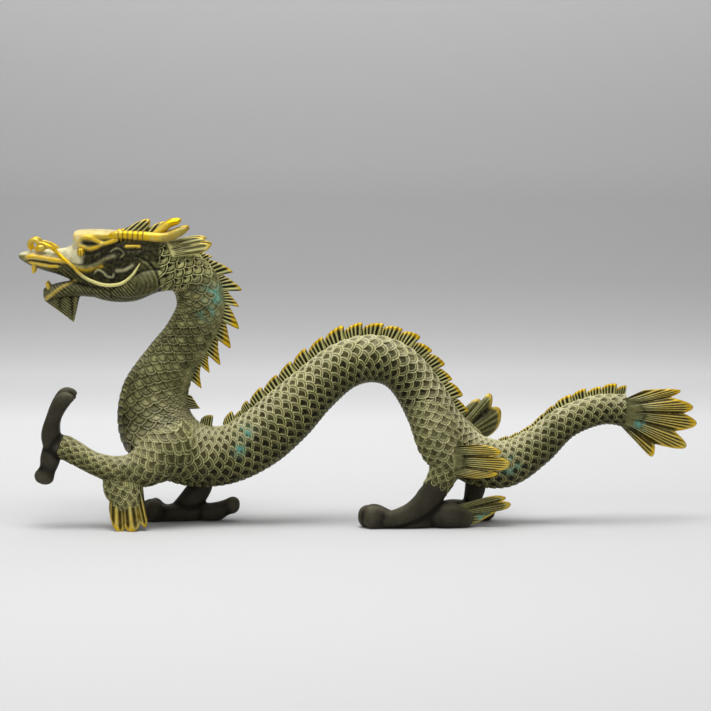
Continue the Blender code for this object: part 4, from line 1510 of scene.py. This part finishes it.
def material(name):
    """The named finish, built from the shared groups the first time that it is asked for."""
    if name in bpy.data.materials:
        return bpy.data.materials[name]
    values = FINISHES[name]
    tones = bpy.context.scene.dragon_finish
    made = bpy.data.materials.new(name)
    made.use_nodes = True
    tree = made.node_tree
    shader = tree.nodes["Principled BSDF"]
    where = tree.nodes.new("ShaderNodeTexCoord").outputs["Object"]
    marks = {}
    for key in ("ridge", "hollow", "tint", "pale", "gilt", "bloom"):
        node = tree.nodes.new("ShaderNodeAttribute")
        node.attribute_name = key
        marks[key] = node.outputs["Fac"]
    brown = name == "foot_brown"
    patina = add_group(
        tree,
        aged_patina(),
        Vector=where,
        Ridge=marks["ridge"],
        Hollow=marks["hollow"],
        Tint=marks["tint"],
        Base=rgb(tones.foot_brown if brown else tones.patina),
        Light=rgb(tones.foot_light if brown else tones.patina_light),
        Dark=rgb(tones.hollow),
    )
    salts = add_group(
        tree,
        copper_bloom(),
        Vector=where,
        Color=patina["Color"],
        Amount=marks["bloom"],
        Bloom=rgb(tones.bloom),
    )
    powder = add_group(
        tree,
        settled_dust(),
        Vector=where,
        Color=salts["Color"],
        Amount=link_maths(tree, "MULTIPLY", marks["pale"], values["dust"]),
        Dust=rgb(tones.dust),
    )
    gold = add_group(
        tree,
        rubbed_gilding(),
        Vector=where,
        Color=powder["Color"],
        Amount=link_maths(tree, "MULTIPLY", marks["gilt"], values["gilt"]),
        Hollow=marks["hollow"],
        Gold=rgb(tones.gilding),
    )
    tree.links.new(gold["Color"], shader.inputs["Base Color"])
    metal = link_linear(tree, gold["Mask"], 0.45, values["metal"], True)
    tree.links.new(metal, shader.inputs["Metallic"])
    rough = link_maths(tree, "ADD", patina["Roughness"], link_maths(tree, "MULTIPLY", powder["Mask"], 0.2))
    rough = link_maths(tree, "SUBTRACT", rough, link_maths(tree, "MULTIPLY", gold["Mask"], 0.2), True)
    tree.links.new(rough, shader.inputs["Roughness"])
    shader.inputs["Specular IOR Level"].default_value = 0.08
    grain = add_group(tree, casting_grain(), Vector=where, Pits=0.5)
    relief = tree.nodes.new("ShaderNodeBump")
    relief.inputs["Strength"].default_value = values["grain"]
    relief.inputs["Distance"].default_value = 0.0004
    tree.links.new(grain["Height"], relief.inputs["Height"])
    tree.links.new(relief.outputs["Normal"], shader.inputs["Normal"])
    return made


# What a user can change


def length(name, description, default, low, high):
    """A length in metres that a user can change."""
    return FloatProperty(name=name, description=description, default=default, min=low, max=high, unit="LENGTH")


def colour(name, description, default):
    """A colour that a user can change."""
    return FloatVectorProperty(
        name=name, description=description, default=default, size=3, min=0, max=1, subtype="COLOR"
    )


def power(name, description, default):
    """A light's power in watts that a user can change."""
    return FloatProperty(name=name, description=description, default=default, min=0, max=500, subtype="POWER")


class DRAGON_PG_form(bpy.types.PropertyGroup):
    """Sizes of the scales, plates, spines and tufts."""

    skin_step: length("Skin step", "Distance between the vertices of the scaled skin", 0.00058, 0.0003, 0.003)
    scale_row: length("Scale row", "Distance from one row of scales to the next", 0.00365, 0.001, 0.02)
    scale_relief: FloatProperty(
        name="Scale relief",
        description="Height of the scales as a share of the usual",
        default=1.0,
        min=0.0,
        max=2.0,
        subtype="FACTOR",
    )
    plate_pitch: length("Belly plates", "Distance from one belly plate to the next", 0.0040, 0.001, 0.02)
    spine_thickness: length("Spine thickness", "Thickness of the spines at their roots", 0.0030, 0.001, 0.01)
    tuft_thickness: length("Tuft thickness", "Thickness of the tufts at their roots", 0.0055, 0.001, 0.02)
    fin_thickness: length("Fin thickness", "Thickness of the tail fin at its root", 0.0065, 0.001, 0.02)


class DRAGON_PG_finish(bpy.types.PropertyGroup):
    """Colours of the patina, the hollows and painted shade, the dust and painted top light, and the gilding."""

    patina: colour("Patina", "Olive patina of the flanks", (0.088, 0.084, 0.022))
    patina_light: colour("Light patina", "Patina on ridges", (0.80, 0.77, 0.32))
    # Near black of grooves, also used for painted shade
    hollow: colour("Hollows", "Near black in grooves", (0.010, 0.009, 0.004))
    # Pale of dust, also used for painted top light
    dust: colour("Dust", "Pale powder on upward faces", (0.64, 0.60, 0.38))
    bloom: colour("Bloom", "Turquoise copper salts", (0.13, 0.40, 0.32))
    gilding: colour("Gilding", "Rubbed gold on rims and tips", (0.90, 0.58, 0.006))
    foot_brown: colour("Foot brown", "Smooth brown of the feet", (0.014, 0.0125, 0.008))
    foot_light: colour("Foot edges", "Worn edges of the feet", (0.11, 0.10, 0.065))


class DRAGON_PG_studio(bpy.types.PropertyGroup):
    """The paper, the lights and the camera."""

    paper_tint: colour("Paper", "Tint of the paper", (0.995, 0.995, 1.0))
    distance: length("Camera distance", "From the camera to the figure", 2.2, 0.5, 10)
    elevation: FloatProperty(
        name="Camera elevation",
        description="Angle above the floor",
        default=math.radians(5.5),
        min=0,
        max=1.5,
        subtype="ANGLE",
    )
    lens: FloatProperty(name="Lens", description="Focal length in millimetres", default=150.8, min=20, max=400)
    key: power("Key light", "Power of the light from above", 27.5)
    fill: power("Fill light", "Power of the light from the front", 5.4)
    back: power("Back light", "Power of the light over the paper behind the figure", 4.0)


# Operators, one for each piece or group of like pieces


# Place that the camera and the lights look at
TARGET = Vector((-0.0022, 0.0, 0.1255))


# Lights: name, place, width and the setting that holds their power
LIGHTS = (
    ("key_light", (-0.2, -0.3, 1.55), 1.1, "key"),
    ("fill_light", (-0.5, -2.1, 0.9), 1.3, "fill"),
    ("back_light", (0.1, 0.7, 1.45), 1.0, "back"),
)


# Paper: where its front edge lies, how long it runs before its bend, radius of the bend, whole length, half width
PAPER_FRONT, PAPER_FLAT, PAPER_BEND, PAPER_LENGTH, PAPER_HALF_WIDTH = -3.0, 3.9, 0.8, 7.5, 4


class DRAGON_OT_studio(bpy.types.Operator):
    """Sets the camera, the paper under and behind the figure and the soft lights"""

    bl_idname = "dragon.studio"
    bl_label = "Studio"

    def execute(self, context):
        studio = context.scene.dragon_studio
        deselect()
        back = Vector((0, -math.cos(studio.elevation), math.sin(studio.elevation)))
        bpy.ops.object.camera_add(location=TARGET + back * studio.distance)
        camera = context.object
        camera.name = "camera"
        camera.rotation_euler = (-back).to_track_quat("-Z", "Y").to_euler()
        camera.data.lens = studio.lens
        camera.data.sensor_width = 36
        camera.data.clip_end = 50
        context.scene.camera = camera
        deselect()
        bpy.ops.mesh.primitive_grid_add(x_subdivisions=2, y_subdivisions=90, size=2)
        floor = context.object
        floor.name = floor.data.name = "studio_floor"
        rows = vertex_rows(floor.data)
        run = (rows[:, 1] + 1) / 2 * PAPER_LENGTH
        turn = np.clip((run - PAPER_FLAT) / PAPER_BEND, 0, math.pi / 2)
        wall = np.maximum(run - PAPER_FLAT - PAPER_BEND * math.pi / 2, 0)
        y = PAPER_FRONT + np.minimum(run, PAPER_FLAT) + PAPER_BEND * np.sin(turn)
        z = PAPER_BEND * (1 - np.cos(turn)) + wall
        set_vertex_rows(floor.data, np.stack((rows[:, 0] * PAPER_HALF_WIDTH, y, z), axis=1))
        floor.data.shade_smooth()
        floor.data.materials.append(paper(studio))
        for name, place, size, setting in LIGHTS:
            deselect()
            bpy.ops.object.light_add(type="AREA", location=place)
            lamp = context.object
            lamp.name = name
            lamp.data.size = size
            lamp.data.energy = getattr(studio, setting)
            lamp.rotation_euler = (Vector(place) - TARGET).to_track_quat("Z", "Y").to_euler()
        world = bpy.data.worlds.new("studio_air")
        world.use_nodes = True
        world.node_tree.nodes["Background"].inputs["Color"].default_value = (1.0, 1.0, 1.0, 1)
        world.node_tree.nodes["Background"].inputs["Strength"].default_value = 0.3
        context.scene.world = world
        context.scene.view_settings.view_transform = "Standard"
        return {"FINISHED"}


class DRAGON_OT_trunk(bpy.types.Operator):
    """Models neck, body and tail with their scales and belly plates"""

    bl_idname = "dragon.trunk"
    bl_label = "Scaled trunk"

    def execute(self, context):
        trunk_skin("scaled_neck", 0.8, 6.2)
        trunk_skin("scaled_body", 6.2, 15.2)
        trunk_skin("scaled_tail", 15.2, 22.0)
        return {"FINISHED"}


class DRAGON_OT_spines(bpy.types.Operator):
    """Models the combs of spines along the back"""

    bl_idname = "dragon.spines"
    bl_label = "Spines"

    def execute(self, context):
        for number, run in enumerate(SPINE_RUNS):
            spine_comb(f"spines_{number + 1}", *run)
        return {"FINISHED"}


class DRAGON_OT_legs(bpy.types.Operator):
    """Models the four scaled legs"""

    bl_idname = "dragon.legs"
    bl_label = "Scaled legs"

    def execute(self, context):
        limb_skin("near_foreleg", NEAR_FORELEG, 6.5)
        limb_skin("near_elbow", NEAR_ELBOW, 5.0, 9, 0.52)
        limb_skin("far_foreleg", FAR_FORELEG, 2.4)
        limb_skin("near_hind_leg", NEAR_HIND_LEG, 5.2)
        limb_skin("far_hind_leg", FAR_HIND_LEG, 3.9)
        return {"FINISHED"}


class DRAGON_OT_feet(bpy.types.Operator):
    """Models the smooth brown feet"""

    bl_idname = "dragon.feet"
    bl_label = "Feet"

    def execute(self, context):
        foot_skin("near_fore_foot", NEAR_FORE_FOOT, ankle(NEAR_FORELEG, 5.0))
        foot_skin("far_fore_foot", FAR_FORE_FOOT, FAR_SHIN)
        foot_skin("near_hind_foot", NEAR_HIND_FOOT, ankle(NEAR_HIND_LEG, 4.4), NEAR_INSTEP)
        foot_skin("far_hind_foot", FAR_HIND_FOOT, ankle(FAR_HIND_LEG, 3.0))
        return {"FINISHED"}


# Tufts: form, thickness as a share of the usual and the settings of its fan
TUFTS = {
    "near_elbow_tuft": (
        NEAR_ELBOW_TUFT,
        1.15,
        {"ribs": 2, "rib_depth": 0.0009, "spread": 1.0, "tilt": 0.001, "dark": 0.4, "blunt": True, "socket": 0.007},
    ),
    "far_elbow_tuft": (FAR_ELBOW_TUFT, 1, {"gilt": 0.6, "spread": 0.2, "tilt": 0.0008}),
    "near_hock_tuft": (
        NEAR_HOCK_TUFT,
        1,
        {"ribs": 6, "spread": 1.0, "tilt": 0.001, "dark": 0.22, "blunt": True, "socket": 0.005},
    ),
    "near_heel_tuft": (
        NEAR_HEEL_TUFT,
        1,
        {
            "rib_depth": 0.0002,
            "gilt": 0.9,
            "spread": 0.15,
            "tilt": 0.0006,
            "dark": 0.35,
            "lined": 0.45,
            "blunt": True,
        },
    ),
    "far_hock_tuft": (
        FAR_HOCK_TUFT,
        1,
        {"rib_depth": 0.0002, "gilt": 0.9, "dark": 0.45, "lined": 0.3, "blunt": True},
    ),
}


class DRAGON_OT_tufts(bpy.types.Operator):
    """Models the ribbed tufts at elbows, hocks and heel"""

    bl_idname = "dragon.tufts"
    bl_label = "Tufts"

    def execute(self, context):
        for name, (form, share, settings) in TUFTS.items():
            fan(name, form, form_sizes().tuft_thickness * share, **settings)
        return {"FINISHED"}


class DRAGON_OT_tail_fin(bpy.types.Operator):
    """Models the five-lobed fin that grows out of the end of the tail"""

    bl_idname = "dragon.tail_fin"
    bl_label = "Tail fin"

    def execute(self, context):
        fan(
            "tail_fin",
            TAIL_FIN,
            form_sizes().fin_thickness,
            ribs=6,
            dark=0.22,
            rib_depth=0.0005,
            rows=60,
            columns=44,
            gilt=0.9,
            spread=0.9,
            socket=0.0088,
            tilt=0.0018,
        )
        return {"FINISHED"}


# Painted light and shade on the studio's paper, brightest on the floor behind the figure and darker up the bend, as
# tones by depth plus twice the height, in metres
PAPER_PAINTED_LIGHT = (
    (-0.60, 0.594),
    (-0.39, 0.598),
    (-0.16, 0.592),
    (0.12, 0.606),
    (0.66, 0.785),
    (1.03, 0.726),
    (1.15, 0.610),
    (1.29, 0.511),
    (1.45, 0.442),
    (1.60, 0.424),
    (1.76, 0.422),
    (1.90, 0.465),
    (2.04, 0.487),
    (2.25, 0.538),
    (2.45, 0.598),
)
PAPER_SPAN = (-0.7, 2.6)


def paper(studio):
    """The paper's finish, whose painted light and shade change slowly from the floor up its bend."""
    finish = bpy.data.materials.new("studio_paper")
    finish.use_nodes = True
    tree = finish.node_tree
    split = tree.nodes.new("ShaderNodeSeparateXYZ")
    tree.links.new(tree.nodes.new("ShaderNodeTexCoord").outputs["Object"], split.inputs[0])
    place = link_maths(tree, "ADD", split.outputs["Y"], link_maths(tree, "MULTIPLY", split.outputs["Z"], 2.0))
    stretched = tree.nodes.new("ShaderNodeMapRange")
    stretched.inputs["From Min"].default_value, stretched.inputs["From Max"].default_value = PAPER_SPAN
    tree.links.new(place, stretched.inputs["Value"])
    ramp = tree.nodes.new("ShaderNodeValToRGB")
    tree.links.new(stretched.outputs["Result"], ramp.inputs["Fac"])
    stops = ramp.color_ramp.elements
    low, high = PAPER_SPAN
    for number, (value, tone) in enumerate(PAPER_PAINTED_LIGHT):
        spot = (value - low) / (high - low)
        stop = stops[number] if number < 2 else stops.new(spot)
        stop.position = spot
        stop.color = rgb([tone * share for share in studio.paper_tint])
    shader = tree.nodes["Principled BSDF"]
    tree.links.new(ramp.outputs["Color"], shader.inputs["Base Color"])
    shader.inputs["Roughness"].default_value = 0.9
    shader.inputs["Specular IOR Level"].default_value = 0.1
    return finish


class DRAGON_OT_head(bpy.types.Operator):
    """Models the head with its whiskers, eyes and nostrils"""

    bl_idname = "dragon.head"
    bl_label = "Head"

    def execute(self, context):
        core = head_core()
        find = skin_finder(core)
        finish_piece(core, "face_patina", dust=0.25)
        whiskers(find)

        def striped(u, v):
            wave = np.cos(2 * math.pi * v * 3)
            return 0.12 * wave, {"gilt": np.ones(len(u)), "hollow": ease(-wave, 0.3, 1)}

        for side, word in ((-1, "near"), (1, "far")):
            out = find(-40.4, 40.6, -2.9) * -side
            radii = (0.1, 0.5, 0.62, 0.66, 0.62, 0.5, 0.1)
            eye = [(-41.2 + 0.2 * step, out + side * 0.12, 40.55, radius) for step, radius in enumerate(radii)]
            finish_piece(tube(f"{word}_eye", eye, 24, 40, 0.7, striped), "rubbed_gilt")
            coil = []
            for step in range(13):
                share = step / 12
                turn = math.radians(-70 + 330 * share)
                place = (-47.6 - 0.7 * math.cos(turn), side * (1.2 + 0.7 * share), 41.55 + 0.7 * math.sin(turn))
                coil.append((*place, 0.3 + 0.08 * math.sin(math.pi * share)))
            finish_piece(tube(f"{word}_nostril", coil, 20, 90, relief=gilded()), "rubbed_gilt")
            ball = (
                (-47.3, side * 1.9, 40.95, 0.1),
                (-47.1, side * 2.0, 41.0, 0.42),
                (-46.6, side * 2.05, 41.1, 0.55),
                (-46.0, side * 2.0, 41.2, 0.42),
                (-45.8, side * 1.9, 41.25, 0.1),
            )
            finish_piece(tube(f"{word}_nostril_ball", ball, 18, 30, relief=gilded()), "rubbed_gilt")
        return {"FINISHED"}


class DRAGON_OT_horns(bpy.types.Operator):
    """Models the roped horns with their upper tines"""

    bl_idname = "dragon.horns"
    bl_label = "Horns"

    def execute(self, context):
        def rope(u, v):
            roped = ease(v, 0.16, 0.2) * ease(-v, -0.46, -0.42)
            cut = (1 - np.abs(np.sin(math.pi * v * 24))) ** 2 * roped
            stripe = bump(np.mod(u, 0.5), 0.25, 0.06) * (1 - roped)
            hollow = cut * 1.2 + stripe * 0.7 + 0.5 * ease(v, 0.5, 0.6) * (1 - stripe)
            marks = {"hollow": np.clip(hollow, 0, 1), "gilt": 1 - 0.25 * ease(v, 0.45, 0.6)}
            return -0.55 * cut - 0.25 * stripe, marks

        for side, word in ((-1, "near"), (1, "far")):
            main = (
                (-37.4, side * 2.4, 42.4, 0.4),
                (-35.2, side * 2.8, 43.1, 0.62),
                (-31.8, side * 2.9, 42.95, 0.7),
                (-28.4, side * 2.9, 42.75, 0.74),
                (-26.4, side * 3.0, 43.4, 0.7),
                (-25.1, side * 3.2, 44.0, 0.45),
            )
            finish_piece(tube(f"{word}_horn", main, 28, 170, relief=rope), "rubbed_gilt")
            tine = (
                (-30.2, side * 2.6, 42.8, 0.5),
                (-28.9, side * 2.3, 43.8, 0.6),
                (-27.6, side * 2.2, 44.7, 0.58),
                (-26.2, side * 2.2, 45.0, 0.34),
            )
            finish_piece(tube(f"{word}_horn_tine", tine, 24, 70, relief=gilded()), "rubbed_gilt")
        return {"FINISHED"}


class DRAGON_OT_crest(bpy.types.Operator):
    """Models the crest fins and the mane locks"""

    bl_idname = "dragon.crest"
    bl_label = "Crest and mane"

    def execute(self, context):
        thick = form_sizes().tuft_thickness
        for name, form in (("front_crest", FRONT_CREST), ("rear_crest", REAR_CREST)):
            fan(name, form, thick * 0.9, columns=50, gilt=0.9, spread=0.1, ribs=5)
        for side, word in ((-1, "near"), (1, "far")):
            root = ((-28.2, side * 2.2, 42.0), (-27.4, side * 2.6, 39.8))
            edge = (
                (-24.6, side * 2.2, 42.7),
                (-22.6, side * 2.2, 42.5),
                (-23.6, side * 2.5, 41.9),
                (-21.8, side * 2.7, 41.2),
                (-24.8, side * 2.8, 40.0),
            )
            lock = {"ribs": 2, "rib_depth": 0.0005, "blunt": True}
            fan(f"{word}_mane_lock", (root, edge), thick, gilt=0.8, spread=0.12, lined=0.55, **lock)
        return {"FINISHED"}


class DRAGON_OT_teeth(bpy.types.Operator):
    """Models the fangs and the lower teeth"""

    bl_idname = "dragon.teeth"
    bl_label = "Teeth"

    def execute(self, context):
        for side, word in ((-1, "near"), (1, "far")):
            fang = ((-47.6, side * 1.4, 38.9, 0.38), (-47.7, side * 1.4, 38.0, 0.3), (-47.8, side * 1.4, 37.3, 0.12))
            tooth = ((-45.4, side * 1.1, 34.8, 0.36), (-45.7, side * 1.1, 35.6, 0.3), (-45.9, side * 1.1, 36.1, 0.12))
            for name, stations in (("fang", fang), ("lower_tooth", tooth)):
                finish_piece(tube(f"{word}_{name}", stations, 16, 24, relief=gilded(0.8)), "rubbed_gilt")
        return {"FINISHED"}


OPERATORS = (
    DRAGON_OT_studio,
    DRAGON_OT_trunk,
    DRAGON_OT_spines,
    DRAGON_OT_legs,
    DRAGON_OT_feet,
    DRAGON_OT_tufts,
    DRAGON_OT_tail_fin,
    DRAGON_OT_head,
    DRAGON_OT_horns,
    DRAGON_OT_crest,
    DRAGON_OT_teeth,
)


class DRAGON_PT_pieces(bpy.types.Panel):
    """Lists the pieces and the sizes and colours"""

    bl_idname = "DRAGON_PT_pieces"
    bl_label = "Dragon"
    bl_space_type = "VIEW_3D"
    bl_region_type = "UI"
    bl_category = "Dragon"

    def draw(self, context):
        for operator in OPERATORS:
            self.layout.operator(operator.bl_idname)
        for group in (context.scene.dragon_form, context.scene.dragon_finish, context.scene.dragon_studio):
            box = self.layout.box()
            for key in group.__annotations__:
                box.prop(group, key)


GROUPS = (("dragon_form", DRAGON_PG_form), ("dragon_finish", DRAGON_PG_finish), ("dragon_studio", DRAGON_PG_studio))


def register():
    for key, group in GROUPS:
        bpy.utils.register_class(group)
        setattr(bpy.types.Scene, key, PointerProperty(type=group))
    for entry in OPERATORS + (DRAGON_PT_pieces,):
        bpy.utils.register_class(entry)


def unregister():
    for entry in reversed(OPERATORS + (DRAGON_PT_pieces,)):
        bpy.utils.unregister_class(entry)
    for key, group in reversed(GROUPS):
        delattr(bpy.types.Scene, key)
        bpy.utils.unregister_class(group)


def main():
    """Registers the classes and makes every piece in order."""
    register()
    for operator in OPERATORS:
        getattr(bpy.ops.dragon, operator.bl_idname.split(".")[1])()
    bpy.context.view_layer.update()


if __name__ == "__main__":
    main()
